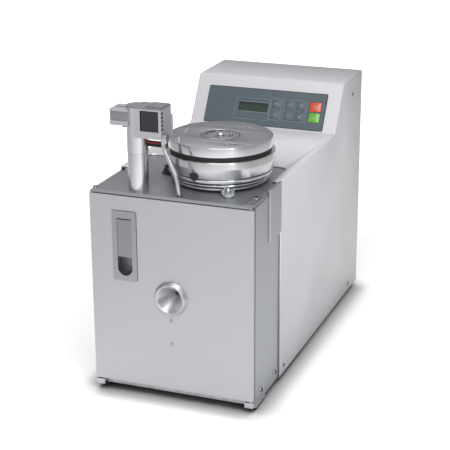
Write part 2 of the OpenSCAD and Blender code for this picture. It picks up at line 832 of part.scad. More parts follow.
module mains_inlet() {
  half = inlet_w / 2;
  body = half - 3;
  y = panel_y + sheet;
  socket_z = inlet_z - 11;
  color("black") difference() {
    union() {
      along_y(y, rear_y + inlet_out) translate([inlet_x, inlet_z]) round_rect(inlet_w, inlet_w, 3);
      along_y(y - 36, y) translate([inlet_x, inlet_z]) square(2 * body, center = true);
    }
    difference() {
      box([inlet_x - 12.3, inlet_x + 12.3], [y - 14, rear_y + 9], [socket_z - 8.2, socket_z + 8.2]);
      for (p = [[-7, -3], [7, -3], [0, -5]]) {
        box([inlet_x + p[0] - 1, inlet_x + p[0] + 1], [y - 15, y + 1],
            [socket_z + p[1] - 2, socket_z + p[1] + 2]);
      }
    }
    box([inlet_x - 13.5, inlet_x + 13.5], [y - 12, rear_y + 9], [rocker_z - 8.5, rocker_z + 8.5]);
    along_x(inlet_x - 16, inlet_x + 16) translate([rocker_y, rocker_z]) circle(1.5 + pin_fit);
  }
}

// Rocker with its upper half pressed in at rest, on two trunnions
module power_switch() {
  color("crimson") translate([0, rocker_y, rocker_z]) rotate([rocker_tilt, 0, 0]) {
    along_x(inlet_x - 13.2, inlet_x + 13.2) polygon([
      [-4, -3], [3.4, -7.4], [4, -6.6], [2.6, 0], [4, 6.6], [3.4, 7.4], [-4, 3]
    ]);
    along_x(inlet_x - 15.5, inlet_x + 15.5) circle(1.5);
  }
}

// ---- door ----

module door_panel() {
  color("silver") difference() {
    box([-half_w, half_w], [front_y, front_y + door_t], [door_z, door_z + door_h]);
    along_y(front_y - 1, front_y + 9) {
      translate([latch_x, latch_z]) square([latch_w - 5, latch_h - 5], center = true);
      at_axis() circle(14);
    }
    for (z = [door_z - 1, door_z + door_h - 11]) {
      translate([hinge_x, hinge_y, z]) cylinder(r = pin_r + pin_fit, h = z < 100 ? 14 : 12);
    }
  }
}

module latch_housing() {
  cup_w = latch_w - 5;
  cup_h = latch_h - 5;
  color("gray") difference() {
    union() {
      along_y(front_y - 1, front_y) translate([latch_x, latch_z]) round_rect(latch_w, latch_h, 1.5);
      along_y(front_y, front_y + cup_depth) translate([latch_x, latch_z]) {
        square([cup_w, cup_h], center = true);
      }
      box([latch_x - 8, latch_x + 8], [front_y + cup_depth, front_y + 25], [pawl_z - 9, pawl_z + 9]);
    }
    // pocket with a rounded lower end below the paddle
    along_y(front_y - 2, front_y + cup_depth - 2.5) {
      translate([latch_x - 10, latch_z - 30]) square([20, 66.5]);
      translate([latch_x, latch_z - 30]) circle(10);
    }
    // trunnion holes
    translate([latch_x - 12.5, paddle_pivot[0], paddle_pivot[1]]) {
      rotate([0, 90, 0]) cylinder(r = 1.5 + pin_fit, h = 25);
    }
    box([latch_x - 9, latch_x + 9], [front_y + 17.7, front_y + 23.3], [pawl_z - 6.3, pawl_z + 6.3]);
  }
}

// Pull paddle with trunnions at its top
module latch_paddle() {
  low = paddle_top - paddle_h;
  color("lightgray") {
    box([latch_x - paddle_w / 2, latch_x + paddle_w / 2], [front_y - 0.5, front_y + 2.2],
        [low, paddle_top]);
    box([latch_x - paddle_w / 2, latch_x + paddle_w / 2], [front_y + 0.6, front_y + 5.4],
        [paddle_pivot[1] - 2.4, paddle_pivot[1] + 2.4]);
    translate([latch_x - 12.3, paddle_pivot[0], paddle_pivot[1]]) {
      rotate([0, 90, 0]) cylinder(r = 1.5, h = 24.6);
    }
  }
}

module latch_pawl() {
  y = [front_y + 18, front_y + 23];
  color("dimgray") {
    box([-wall_in + sheet + 1.5, latch_x + 12], y, [pawl_z - 6, pawl_z + 6]);
  }
}

// Points are radius and depth behind the door's face
module wire_funnel() {
  points = [[22.5, 0], [22.5, -1.2], [19.6, -6], [18.2, -6], [16.8, -4.6], [2.5, 19],
            [2.5, 22], [7, 22], [7, 14], [12, 14], [12, 8], [16, 8], [16, door_t],
            [14, door_t], [14, 0]];
  color("silver") translate([0, front_y, axis_z]) rotate([90, 0, 0]) {
    rotate_extrude($fn = 96) polygon([for (p = points) [p[0], -p[1]]]);
  }
}

module door_screws() {
  color("silver") for (d = [31.5, 63.5]) {
    translate([0, front_y, axis_z - d]) rotate([90, 0, 0]) screw_head(3, 1.4);
  }
}

base_tray();
feet();
corner_blocks();
deck_shell();
bulkhead();
hood();
rear_panel();
side_flanges();
upper_hinge_arm();
hinge_pins();
cover_screws();
latch_keeper();
control_bezel();
display_module();
bowl_base_ring();
drive_base();
drive_core();
drive_coil();
leaf_springs();
bowl_clamps();
column_lower();
column_upper();
solenoid_coil();
actuator_body();
head_cover();
drop_chute();
hose_stubs();
crimp_housing();
gear_motor();
power_supply();
control_board();
scrap_tray();
mains_inlet();
door_panel();
latch_housing();
wire_funnel();
door_screws();
latch_paddle();
latch_pawl();
small_key(0);  // key_1
small_key(1);  // key_2
small_key(2);  // key_3
small_key(3);  // key_4
small_key(4);  // key_5
small_key(5);  // key_6
key_stop();
key_start();
armature();
bowl();
bowl_lid();
lid_pins();
refill_shutter();
separator_slide();
cam_ring();
crimp_jaw(0);  // crimp_jaw_1
crimp_jaw(1);  // crimp_jaw_2
crimp_jaw(2);  // crimp_jaw_3
crimp_jaw(3);  // crimp_jaw_4
drive_pinion();
power_switch();
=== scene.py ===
import json
import math
import bmesh
import bpy
from mathutils import Matrix, Vector
from mathutils.geometry import tessellate_polygon


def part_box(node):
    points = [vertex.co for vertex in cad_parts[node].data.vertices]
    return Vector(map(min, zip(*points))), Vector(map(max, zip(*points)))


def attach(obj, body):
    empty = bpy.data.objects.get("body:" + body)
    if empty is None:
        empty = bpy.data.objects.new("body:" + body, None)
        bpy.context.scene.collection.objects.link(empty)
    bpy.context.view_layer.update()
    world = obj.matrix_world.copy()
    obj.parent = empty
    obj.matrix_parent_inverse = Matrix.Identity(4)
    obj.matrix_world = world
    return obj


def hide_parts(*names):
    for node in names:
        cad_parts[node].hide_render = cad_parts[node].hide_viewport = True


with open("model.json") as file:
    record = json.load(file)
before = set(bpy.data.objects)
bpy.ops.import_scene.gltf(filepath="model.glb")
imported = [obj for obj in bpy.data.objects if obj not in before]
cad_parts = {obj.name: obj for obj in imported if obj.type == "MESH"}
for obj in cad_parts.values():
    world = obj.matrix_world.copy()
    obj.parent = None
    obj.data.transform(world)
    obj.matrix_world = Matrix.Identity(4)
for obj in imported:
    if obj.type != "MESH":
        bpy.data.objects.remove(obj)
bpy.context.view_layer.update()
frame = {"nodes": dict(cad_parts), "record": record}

NODES = frame["nodes"]
BODY_OF = {node: body for body, nodes in frame["record"]["behaviour"]["bodies"].items() for node in nodes}
MM = 0.001


# ---------------------------------------------------------------- places, in millimetres

def box_mm(node):
    """Lowest and highest corner of a CAD node in millimetres."""
    low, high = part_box(node)
    return Vector(low) / MM, Vector(high) / MM


DOOR_LOW, DOOR_HIGH = box_mm("door_panel")
HALF_W = DOOR_HIGH.x
FRONT = DOOR_LOW.y
DECK_Z = box_mm("deck_shell")[1].z
HOOD_LOW, HOOD_HIGH = box_mm("hood")
HOOD_SHEET = 2.0
HOOD_DECK = DECK_Z + HOOD_SHEET
SLOPE_FOOT = (FRONT + 341.8, HOOD_DECK)
SLOPE_TOP = (FRONT + 382.0, HOOD_HIGH.z)
SLOPE = math.atan2(SLOPE_TOP[1] - SLOPE_FOOT[1], SLOPE_TOP[0] - SLOPE_FOOT[0])
BOWL_LOW, BOWL_HIGH = box_mm("bowl")
BOWL = Vector(((BOWL_LOW.x + BOWL_HIGH.x) / 2, (BOWL_LOW.y + BOWL_HIGH.y) / 2, 0))
BOWL_R = (BOWL_HIGH.x - BOWL_LOW.x) / 2
LID_LOW, LID_HIGH = box_mm("bowl_lid")
LID_TOP = LID_HIGH.z
LID_R = (LID_HIGH.x - LID_LOW.x) / 2
COLUMN = Vector((-49.5, FRONT + 19, 0))
FUNNEL = Vector((0, FRONT, 144))
LATCH = Vector((-62.5, FRONT, 207))


# ---------------------------------------------------------------- mesh helpers

def rounded(points, radii, steps=5, closed=True):
    """A 2D outline with its corners rounded. radii is one radius or one per point."""
    count = len(points)
    if not isinstance(radii, (list, tuple)):
        radii = [radii] * count
    out = []
    for i, point in enumerate(points):
        corner = Vector(point)
        radius = radii[i]
        if radius <= 0 or (not closed and i in (0, count - 1)):
            out.append(tuple(corner))
            continue
        before = (Vector(points[i - 1]) - corner).normalized()
        after = (Vector(points[(i + 1) % count]) - corner).normalized()
        half = before.angle(after) / 2
        reach = radius / math.tan(half)
        centre = corner + (before + after).normalized() * (radius / math.sin(half))
        start = corner + before * reach - centre
        end = corner + after * reach - centre
        sweep = math.atan2(start.x * end.y - start.y * end.x, start.dot(end))
        for k in range(steps + 1):
            turned = Matrix.Rotation(sweep * k / steps, 2) @ start
            out.append(tuple(centre + turned))
    return out


def rectangle(cx, cy, w, h, r=0.0, steps=5):
    corners = [(cx - w / 2, cy - h / 2), (cx + w / 2, cy - h / 2),
               (cx + w / 2, cy + h / 2), (cx - w / 2, cy + h / 2)]
    return rounded(corners, r, steps)


def circle(cx, cy, r, steps=48):
    turn = 2 * math.pi / steps
    return [(cx + r * math.cos(i * turn), cy + r * math.sin(i * turn)) for i in range(steps)]


def inset(loop, d):
    """The loop moved to its left by d, with mitred corners. Left is inside if it runs anticlockwise."""
    out = []
    for i, point in enumerate(loop):
        p = Vector(point)
        a = (p - Vector(loop[i - 1])).normalized()
        b = (Vector(loop[(i + 1) % len(loop)]) - p).normalized()
        na, nb = Vector((-a.y, a.x)), Vector((-b.y, b.x))
        mitre = na + nb
        scale = d / max(0.3, mitre.dot(na))
        out.append(tuple(p + mitre * scale))
    return out


def area(loop):
    return sum(a[0] * b[1] - b[0] * a[1] for a, b in zip(loop, loop[1:] + loop[:1])) / 2


def add_object(name, data):
    made = bpy.data.objects.new(name, data)
    bpy.context.scene.collection.objects.link(made)
    return made


def build(name, shape, materials, body, stands_for=(), choose=None, sharp=38):
    """Makes a piece from (points in mm, faces) and gives it its materials and body."""
    verts, faces = shape
    mesh = bpy.data.meshes.new(name)
    mesh.from_pydata([Vector(v) * MM for v in verts], [], faces)
    mesh.validate()
    for material in materials if isinstance(materials, (list, tuple)) else [materials]:
        mesh.materials.append(MAT[material])
    if choose:
        for face in mesh.polygons:
            face.material_index = choose(face.center / MM, face.normal)
    mesh.polygons.foreach_set("use_smooth", [True] * len(mesh.polygons))
    mesh.set_sharp_from_angle(angle=math.radians(sharp))
    mesh.update()
    piece = add_object(name, mesh)
    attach(piece, body)
    if stands_for:
        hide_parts(*stands_for)
    return piece


def plate_mesh(loops, thickness, place, bevel=0.4, steps=2):
    """Points and faces of a flat plate with rounded edges. The first loop is the outline, the others are
    holes. The plate is drawn in X and Y, grows along Z from 0, and place moves it."""
    rings = []
    for k in range(steps + 1):
        a = math.pi / 2 * k / steps
        rings.append((bevel * (1 - math.sin(a)), bevel * (1 - math.cos(a))))
    levels = rings + [(i, thickness - z) for i, z in reversed(rings)]
    verts, faces, caps = [], [], ([], [])
    for index, loop in enumerate(loops):
        loop = list(loop) if area(list(loop)) > 0 else list(reversed(loop))
        side = 1 if index == 0 else -1
        start, n = len(verts), len(loop)
        for shift, z in levels:
            verts += [(x, y, z) for x, y in inset(loop, side * shift)]
        for level in range(len(levels) - 1):
            for i in range(n):
                j = (i + 1) % n
                a, b = start + level * n + i, start + level * n + j
                quad = (a, b, b + n, a + n)
                faces.append(quad if side > 0 else quad[::-1])
        caps[0].append(list(range(start, start + n)))
        top = start + (len(levels) - 1) * n
        caps[1].append(list(range(top, top + n)))
    for cap, up in ((caps[0], False), (caps[1], True)):
        flat = [v for ring in cap for v in ring]
        for tri in tessellate_polygon([[Vector(verts[v]) for v in ring] for ring in cap]):
            a, b, c = (flat[v] for v in tri)
            cross = (Vector(verts[b]) - Vector(verts[a])).cross(Vector(verts[c]) - Vector(verts[a]))
            if (cross.z > 0) != up:
                a, b, c = a, c, b
            faces.append((a, b, c))
    return [tuple(place @ Vector(v)) for v in verts], faces


def lathe_mesh(profile, place, segments=128, closed=True):
    """Points and faces of a profile of (radius, height) turned about Z. A closed profile is a ring."""
    verts, faces, n = [], [], len(profile)
    for s in range(segments):
        a = 2 * math.pi * s / segments
        verts += [tuple(place @ Vector((r * math.cos(a), r * math.sin(a), z))) for r, z in profile]
    for s in range(segments):
        t = (s + 1) % segments
        for i in range(n if closed else n - 1):
            j = (i + 1) % n
            faces.append((s * n + i, t * n + i, t * n + j, s * n + j))
    return verts, faces


def merge(parts):
    """Joins several (points, faces) into one."""
    verts, faces = [], []
    for v, f in parts:
        start = len(verts)
        verts += v
        faces += [tuple(i + start for i in face) for face in f]
    return verts, faces


def solid_disc(profile, place, segments=96):
    """A turned solid whose profile starts and ends on the axis."""
    body = [p for p in profile if p[0] > 1e-6]
    verts, faces = lathe_mesh(body, place, segments, closed=False)
    n = len(body)
    low, high = len(verts), len(verts) + 1
    verts += [tuple(place @ Vector((0, 0, end[1]))) for end in (profile[0], profile[-1])]
    for s in range(segments):
        t = (s + 1) % segments
        faces.append((low, t * n, s * n))
        faces.append((high, s * n + n - 1, t * n + n - 1))
    return verts, faces


def peg(radius, height, place, sides, top=0.0):
    """A round pin that stands on local Z = 0, with its top edge rounded by top."""
    profile = [(0, 0), (radius, 0), (radius, height), (0, height)]
    return solid_disc(rounded(profile, [0, 0, top, 0], 4) if top else profile, place, sides)


def at(x, y, z):
    return Matrix.Translation((x, y, z))


def facing_front(y, x=0.0, z=0.0):
    """Local X and Y become X and Z, and local Z points to the front, to -Y."""
    return at(x, y, z) @ Matrix.Rotation(math.pi / 2, 4, "X")


def facing_side(x, sign):
    """Local Z points sideways along sign * X, and local X, Y become sign * Y and Z."""
    return at(x, 0, 0) @ Matrix.Rotation(sign * math.pi / 2, 4, "Z") @ Matrix.Rotation(math.pi / 2, 4, "X")


ON_SLOPE = at(0, *SLOPE_FOOT) @ Matrix.Rotation(SLOPE, 4, "X")


def tube_mesh(path, radius, sides=24, bore=0.0):
    """A round tube along points in millimetres, open at both ends if it has a bore."""
    points = [Vector(p) for p in path]
    rings = []
    for i, p in enumerate(points):
        along = (points[min(i + 1, len(points) - 1)] - points[max(i - 1, 0)]).normalized()
        u = Vector((0, 1, 0)).cross(along).normalized()
        rings.append((p, u, along.cross(u)))
    verts, faces = [], []
    walls = [radius, bore] if bore else [radius]
    for r in walls:
        for p, u, v in rings:
            for k in range(sides):
                a = 2 * math.pi * k / sides
                verts.append(tuple(p + u * (r * math.cos(a)) + v * (r * math.sin(a))))
    n = len(rings)
    for w in range(len(walls)):
        base = w * n * sides
        for i in range(n - 1):
            for k in range(sides):
                m = (k + 1) % sides
                quad = (base + i * sides + k, base + i * sides + m,
                        base + (i + 1) * sides + m, base + (i + 1) * sides + k)
                faces.append(quad if w == 0 else quad[::-1])
    if bore:
        inner = n * sides
        last = (n - 1) * sides
        for k in range(sides):
            m = (k + 1) % sides
            faces.append((k, inner + k, inner + m, m))
            faces.append((last + k, last + m, inner + last + m, inner + last + k))
    else:
        faces.append(tuple(range(sides - 1, -1, -1)))
        faces.append(tuple(range((n - 1) * sides, n * sides)))
    return verts, faces


# ---------------------------------------------------------------- materials
# The middle of a noise texture's values, where nearly all of them lie
NOISE_LOW, NOISE_HIGH = 0.3, 0.7


def add_node(tree, kind, inputs, **settings):
    """A new shader node with its settings made, and its inputs linked or given a value."""
    made = tree.nodes.new(kind)
    for key, value in settings.items():
        setattr(made, key, value)
    for socket, value in inputs.items():
        if isinstance(value, bpy.types.NodeSocket):
            tree.links.new(value, made.inputs[socket])
        else:
            made.inputs[socket].default_value = value
    return made


class Shader:
    """A Principled material with helpers for the texture nodes that feed it."""

    def __init__(self, name, color, roughness, metallic=0.0, **hole_shade_pegs):
        self.material = bpy.data.materials.new(name)
        self.material.use_nodes = True
        self.tree = self.material.node_tree
        self.shader = self.tree.nodes["Principled BSDF"]
        self.color, self.roughness = color, roughness
        hole_shade_pegs = {"Base Color": (*color, 1), "Roughness": roughness, "Metallic": metallic, **hole_shade_pegs}
        for socket, value in hole_shade_pegs.items():
            self.shader.inputs[socket.replace("_", " ")].default_value = value
        self.material.diffuse_color = (*color, 1)
        self.coords = self.node("ShaderNodeTexCoord", {}).outputs["Object"]

    def node(self, kind, inputs, **settings):
        return add_node(self.tree, kind, inputs, **settings)

    def feed(self, socket, source):
        """Links a node's output to the material's own socket."""
        self.tree.links.new(source, self.shader.inputs[socket])

    def math(self, operation, a, b):
        return self.node("ShaderNodeMath", {0: a, 1: b}, operation=operation).outputs[0]

    def blend(self, a, b, share):
        """Share of a, and the rest of b."""
        return self.math("ADD", self.math("MULTIPLY", a, share), self.math("MULTIPLY", b, 1 - share))

    def noise(self, scale, stretch=(1, 1, 1), detail=4.0):
        """Noise in 0..1. scale is in cycles per metre before the stretch."""
        mapping = self.node("ShaderNodeMapping", {"Vector": self.coords, "Scale": stretch})
        inputs = {"Vector": mapping.outputs[0], "Scale": scale, "Detail": detail}
        return self.node("ShaderNodeTexNoise", inputs).outputs["Fac"]

    def rings(self, centre, axis, scale):
        """Noise that depends only on the distance from an axis, as a lathe leaves it."""
        kind = "ShaderNodeVectorMath"
        shift = self.node(kind, {0: self.coords, 1: Vector(centre) * MM}, operation="SUBTRACT")
        across = [0.0 if k == axis else 1.0 for k in "XYZ"]
        flat = self.node(kind, {0: shift.outputs[0], 1: across}, operation="MULTIPLY")
        length = self.node(kind, {0: flat.outputs[0]}, operation="LENGTH")
        inputs = {"W": length.outputs["Value"], "Scale": scale, "Detail": 3.0}
        return self.node("ShaderNodeTexNoise", inputs, noise_dimensions="1D").outputs["Fac"]

    def spread(self, value, low, high):
        """Stretches the middle of a noise over low to high."""
        return self.node("ShaderNodeMapRange", {
            "Value": value, "From Min": NOISE_LOW, "From Max": NOISE_HIGH, "To Min": low, "To Max": high,
        }).outputs[0]

    def tint(self, value, amount):
        """Varies the colour by amount either way."""
        ramp = self.node("ShaderNodeValToRGB", {"Fac": value})
        dark = [c * (1 - amount) for c in self.color]
        light = [min(1.0, c * (1 + amount)) for c in self.color]
        stops = ramp.color_ramp.elements
        stops[0].position, stops[1].position = NOISE_LOW, NOISE_HIGH
        stops[0].color, stops[1].color = (*dark, 1), (*light, 1)
        self.feed("Base Color", ramp.outputs["Color"])

    def rough(self, value, amount):
        low, high = max(0.02, self.roughness - amount), min(1.0, self.roughness + amount)
        self.feed("Roughness", self.spread(value, low, high))

    def bump(self, value, strength, distance):
        inputs = {"Height": value, "Strength": strength, "Distance": distance}
        self.feed("Normal", self.node("ShaderNodeBump", inputs).outputs[0])


def paint(name, color, roughness=0.42):
    """Powder coat: fine orange peel, faint clouding and a few dull patches."""
    s = Shader(name, color, roughness, Specular_IOR_Level=0.5)
    s.tint(s.noise(9, detail=5), 0.025)
    s.rough(s.noise(40, detail=6), 0.05)
    s.bump(s.noise(1300, detail=2), 0.12, 0.0002)
    return s.material


def brushed(name, color, roughness, stretch, metallic=1.0, streak=0.05, strength=0.08):
    """Metal with straight brush lines. stretch is small along the lines and large across them."""
    s = Shader(name, color, roughness, metallic)
    lines = s.noise(260, stretch, detail=6)
    cloud = s.noise(7, detail=4)
    s.tint(s.blend(lines, cloud, 0.7), streak)
    s.rough(s.blend(lines, cloud, 0.6), 0.07)
    s.bump(lines, strength, 0.0001)
    return s.material


def turned(name, color, roughness, centre, axis="Z", scale=1500, streak=0.06, strength=0.1,
           smear=0.0):
    """Metal turned on a lathe: fine rings about the axis and soft handling marks. smear draws its
    highlights out across the rings."""
    s = Shader(name, color, roughness, 1.0, Anisotropic=smear, Anisotropic_Rotation=0.25)
    if smear:
        tangent = s.node("ShaderNodeTangent", {}, direction_type="RADIAL", axis=axis)
        s.feed("Tangent", tangent.outputs[0])
    rings = s.rings(centre, axis, scale)
    layers = s.noise(scale, [1.0 if k == axis else 0.02 for k in "XYZ"], detail=2)
    cut = s.blend(rings, layers, 0.6)
    s.tint(cut, streak)
    s.rough(s.blend(s.noise(60, detail=6), cut, 0.6), 0.06)
    s.bump(cut, strength, 0.0001)
    return s.material


def plastic(name, color, roughness, grain=1800, strength=0.15, coat=0.0):
    """Moulded plastic with a fine spark-eroded grain."""
    s = Shader(name, color, roughness, Coat_Weight=coat)
    s.tint(s.noise(30, detail=4), 0.05)
    s.rough(s.noise(220, detail=5), 0.06)
    s.bump(s.noise(grain, detail=2), strength, 0.00015)
    return s.material


def sheet_zinc(name, color, roughness):
    """Galvanised sheet with a soft spangle."""
    s = Shader(name, color, roughness, 1.0)
    cells = s.node("ShaderNodeTexVoronoi", {"Vector": s.coords, "Scale": 90})
    s.tint(cells.outputs["Distance"], 0.09)
    s.rough(s.noise(50, detail=5), 0.08)
    s.bump(s.noise(700, detail=3), 0.05, 0.0001)
    return s.material


MAT = {
    "hood": paint("hood_paint", (0.63, 0.625, 0.65)),
    # painted highlight: a bright metal for the hood sheet's rim faces, for the light caught along its edges
    "hood_rim": brushed("hood_edge_painted_highlight", (0.86, 0.86, 0.87), 0.3, (1, 1, 4)),
    # painted shade: the deck's top, and the upper hinge arm on it, is a darker copy of the side walls'
    # steel, brushed the other way
    "deck": brushed("deck_steel", (0.25, 0.258, 0.28), 0.40, (0.03, 1, 1), metallic=0.5, streak=0.035,
                    strength=0.03),
    "side": brushed("side_steel", (0.35, 0.362, 0.385), 0.38, (1, 0.03, 1), metallic=0.8, streak=0.05),
    "door": brushed("door_aluminium", (0.51, 0.514, 0.53), 0.46, (1, 1, 0.02), metallic=0.6,
                    streak=0.025, strength=0.05),
    "steel": brushed("satin_steel", (0.52, 0.53, 0.55), 0.32, (1, 1, 0.05)),
    "edge": brushed("bright_edge", (0.80, 0.80, 0.82), 0.28, (1, 1, 0.05)),
    "latch": brushed("latch_steel", (0.40, 0.405, 0.42), 0.35, (1, 1, 0.03)),
    "pull": brushed("latch_pull_steel", (0.33, 0.335, 0.35), 0.38, (1, 1, 0.03), streak=0.03),
    # black: the head's window and comb have it as their colour; in the screws' recesses and the funnel's
    # bore it is painted shade
    "recess": plastic("black_and_painted_shade", (0.03, 0.03, 0.035), 0.45),
    # painted shade: a darker copy of the latch steel for the faces inside the latch's pocket
    "pocket": brushed("latch_steel_painted_shade", (0.22, 0.225, 0.24), 0.35, (1, 1, 0.03)),
    "lid_top": turned("lid_top_turned", (0.35, 0.355, 0.385), 0.36, BOWL, scale=1100, streak=0.05,
                      strength=0.06),
    "lid_side": turned("lid_side_polished", (0.70, 0.70, 0.72), 0.2, BOWL, streak=0.04,
                       strength=0.04, smear=0.7),
    "bowl": turned("bowl_polished", (0.66, 0.67, 0.68), 0.24, BOWL, streak=0.04, strength=0.03,
                   smear=0.85),
    "ring": turned("base_ring_turned", (0.66, 0.67, 0.69), 0.22, BOWL, strength=0.04, smear=0.7),
    "column": turned("column_satin", (0.72, 0.72, 0.74), 0.24, COLUMN, streak=0.03, strength=0.03,
                     smear=0.6),
    "funnel": turned("funnel_satin", (0.58, 0.58, 0.60), 0.38, FUNNEL, "Y", strength=0.05, smear=0.7),
    "head": brushed("head_aluminium", (0.47, 0.47, 0.49), 0.42, (0.04, 1, 1), metallic=0.35, streak=0.03),
    # painted shade: a darker copy of the head aluminium for the actuator's slot and its underside
    "head_painted_shade": brushed("head_aluminium_painted_shade", (0.27, 0.27, 0.30), 0.42, (0.04, 1, 1), metallic=0.4, streak=0.03),
    "tube": brushed("chute_steel", (0.58, 0.58, 0.60), 0.16, (1, 1, 0.1), streak=0.02, strength=0.01),
    "chrome": brushed("polished_steel", (0.80, 0.80, 0.82), 0.09, (1, 1, 0.2), streak=0.02,
                      strength=0.01),
    "tool": brushed("ground_tool_steel", (0.42, 0.43, 0.46), 0.3, (0.05, 1, 1)),
    "brass": brushed("brass", (0.78, 0.60, 0.30), 0.3, (1, 1, 0.1)),
    "zinc": sheet_zinc("zinc_sheet", (0.50, 0.51, 0.53), 0.42),
    "dark": paint("dark_metal", (0.055, 0.055, 0.062), 0.4),
    "cover": brushed("cover_steel", (0.27, 0.28, 0.31), 0.40, (0.04, 1, 1), metallic=0.6),
    # painted shade: a near-black for the shade in the base ring's grooves, under the lid, in the lid's
    # holes and slit, round the shutter and across the display's top
    "seal": plastic("painted_shade_black", (0.008, 0.009, 0.010), 0.5, grain=900, strength=0.1),
    "rubber": plastic("black_rubber", (0.018, 0.018, 0.019), 0.7, grain=900, strength=0.3),
    "black": plastic("black_plastic", (0.020, 0.022, 0.028), 0.35),
    "foil": plastic("panel_foil", (0.082, 0.108, 0.128), 0.38, grain=2600, strength=0.05),
    "print": plastic("panel_print_grey", (0.26, 0.29, 0.32), 0.45, strength=0.02),
    "icon": plastic("key_icon_white", (0.38, 0.41, 0.43), 0.45, strength=0.02),
    "key": plastic("key_grey", (0.092, 0.118, 0.140), 0.4, grain=2600, strength=0.05),
    "red": plastic("key_red", (0.72, 0.075, 0.012), 0.22, strength=0.03, coat=0.6),
    "green": plastic("key_green", (0.125, 0.42, 0.025), 0.22, strength=0.03, coat=0.6),
    "glass": plastic("display_glass", (0.030, 0.046, 0.038), 0.15, strength=0.01, coat=0.3),
    "lcd": plastic("display_back", (0.012, 0.022, 0.016), 0.3, strength=0.02),
    "copper": plastic("coil_winding", (0.42, 0.16, 0.06), 0.3, grain=1200, strength=0.3),
    "pcb": plastic("circuit_board", (0.015, 0.10, 0.045), 0.4, grain=500, strength=0.1),
    "hose": plastic("hose_red", (0.17, 0.012, 0.010), 0.35, strength=0.1),
    "rocker": plastic("rocker_red", (0.45, 0.02, 0.015), 0.3),
}


def keep(node, material):
    """Shows a CAD node as it is, with its own material."""
    for material_slot in NODES[node].material_slots:
        material_slot.material = MAT[material]


# When two points of a CAD mesh are one (m), when two faces are one plane (rad), and what is a corner (deg)
SAME_POINT, SAME_PLANE, CORNER = 0.000004, 0.003, 38


def soften(node, materials, bevel=0.35, choose=None, sharp=35, segments=2):
    """A piece with a CAD node's shape and broken edges. choose(centre in mm, normal) picks its material."""
    source = NODES[node]
    work = bmesh.new()
    work.from_mesh(source.data)
    bmesh.ops.remove_doubles(work, verts=work.verts, dist=SAME_POINT)
    bmesh.ops.dissolve_limit(work, angle_limit=SAME_PLANE, verts=work.verts, edges=work.edges)
    corners = [e for e in work.edges
               if len(e.link_faces) == 2 and e.calc_face_angle(0) > math.radians(CORNER)]
    bmesh.ops.bevel(work, geom=corners, offset=bevel * MM, segments=segments, profile=0.5,
                    affect="EDGES", clamp_overlap=True)
    materials = materials if isinstance(materials, (list, tuple)) else [materials]
    for face in work.faces:
        face.smooth = True
        face.material_index = choose(face.calc_center_median() / MM, face.normal) if choose else 0
    mesh = bpy.data.meshes.new(node + "_look")
    work.to_mesh(mesh)
    work.free()
    for material in materials:
        mesh.materials.append(MAT[material])
    mesh.set_sharp_from_angle(angle=math.radians(sharp))
    piece = add_object(node + "_look", mesh)
    weights = piece.modifiers.new("flat_faces", "WEIGHTED_NORMAL")
    weights.keep_sharp = True
    weights.weight = 80
    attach(piece, BODY_OF[node])
    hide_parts(node)


# ---------------------------------------------------------------- camera and studio

CAMERA_AZIMUTH = math.radians(20.95)
CAMERA_ELEVATION = math.radians(19.23)
CAMERA_ROLL = math.radians(-0.294)
CAMERA_DISTANCE = 1.8619
CAMERA_LENS = 105.6
CAMERA_TARGET = Vector((-0.0118, -0.0157, 0.1682))


def direction(azimuth, elevation):
    """Unit vector from the object, with azimuth 0 towards the front and positive to the right."""
    return Vector((math.sin(azimuth) * math.cos(elevation), -math.cos(azimuth) * math.cos(elevation),
                   math.sin(elevation)))


def make_camera():
    back = direction(CAMERA_AZIMUTH, CAMERA_ELEVATION)
    right = (-back).cross(Vector((0, 0, 1))).normalized()
    up = right.cross(-back)
    c, s = math.cos(CAMERA_ROLL), math.sin(CAMERA_ROLL)
    right, up = c * right + s * up, c * up - s * right
    data = bpy.data.cameras.new("camera")
    data.lens = CAMERA_LENS
    data.sensor_width = 36
    camera = add_object("camera", data)
    turn = Matrix((right, up, back)).transposed()
    camera.matrix_world = Matrix.Translation(CAMERA_TARGET + back * CAMERA_DISTANCE) @ turn.to_4x4()
    bpy.context.scene.camera = camera


SOFTBOX_AIM = Vector((0, 0, 0.22))


def softbox(name, azimuth, elevation, distance, size, power):
    data = bpy.data.lights.new(name, "AREA")
    data.shape = "RECTANGLE"
    data.size, data.size_y = size
    data.energy = power
    lamp = add_object(name, data)
    back = direction(math.radians(azimuth), math.radians(elevation))
    lamp.location = SOFTBOX_AIM + back * distance
    lamp.rotation_euler = back.to_track_quat("Z", "Y").to_euler()


# Brightness of the studio round the object, by azimuth in degrees from the front, positive right
SURROUND = ((-180, 0.42), (-135, 0.30), (-100, 0.20), (-65, 0.24), (-40, 0.45), (-15, 0.78),
            (15, 0.98), (32, 1.15), (41, 1.45), (51, 0.80), (60, 0.50), (70, 0.28), (90, 0.24),
            (108, 0.46), (145, 0.36), (180, 0.42))


def surround(tree, vector):
    """Grey value by the azimuth of a vector or point, and its height."""
    split = add_node(tree, "ShaderNodeSeparateXYZ", {0: vector})
    flip = add_node(tree, "ShaderNodeMath", {0: split.outputs["Y"], 1: -1}, operation="MULTIPLY")
    angle = add_node(tree, "ShaderNodeMath", {0: split.outputs["X"], 1: flip.outputs[0]},
                     operation="ARCTAN2")
    inputs = {"Value": angle.outputs[0], "From Min": -math.pi, "From Max": math.pi}
    turn = add_node(tree, "ShaderNodeMapRange", inputs)
    ramp = add_node(tree, "ShaderNodeValToRGB", {"Fac": turn.outputs[0]})
    ramp.color_ramp.interpolation = "EASE"
    stops = ramp.color_ramp.elements
    while len(stops) < len(SURROUND):
        stops.new(0.5)
    for stop, (azimuth, value) in zip(stops, SURROUND):
        stop.position = (azimuth + 180) / 360
        stop.color = (value, value, value * 1.01, 1)
    return ramp.outputs["Color"], split.outputs["Z"]


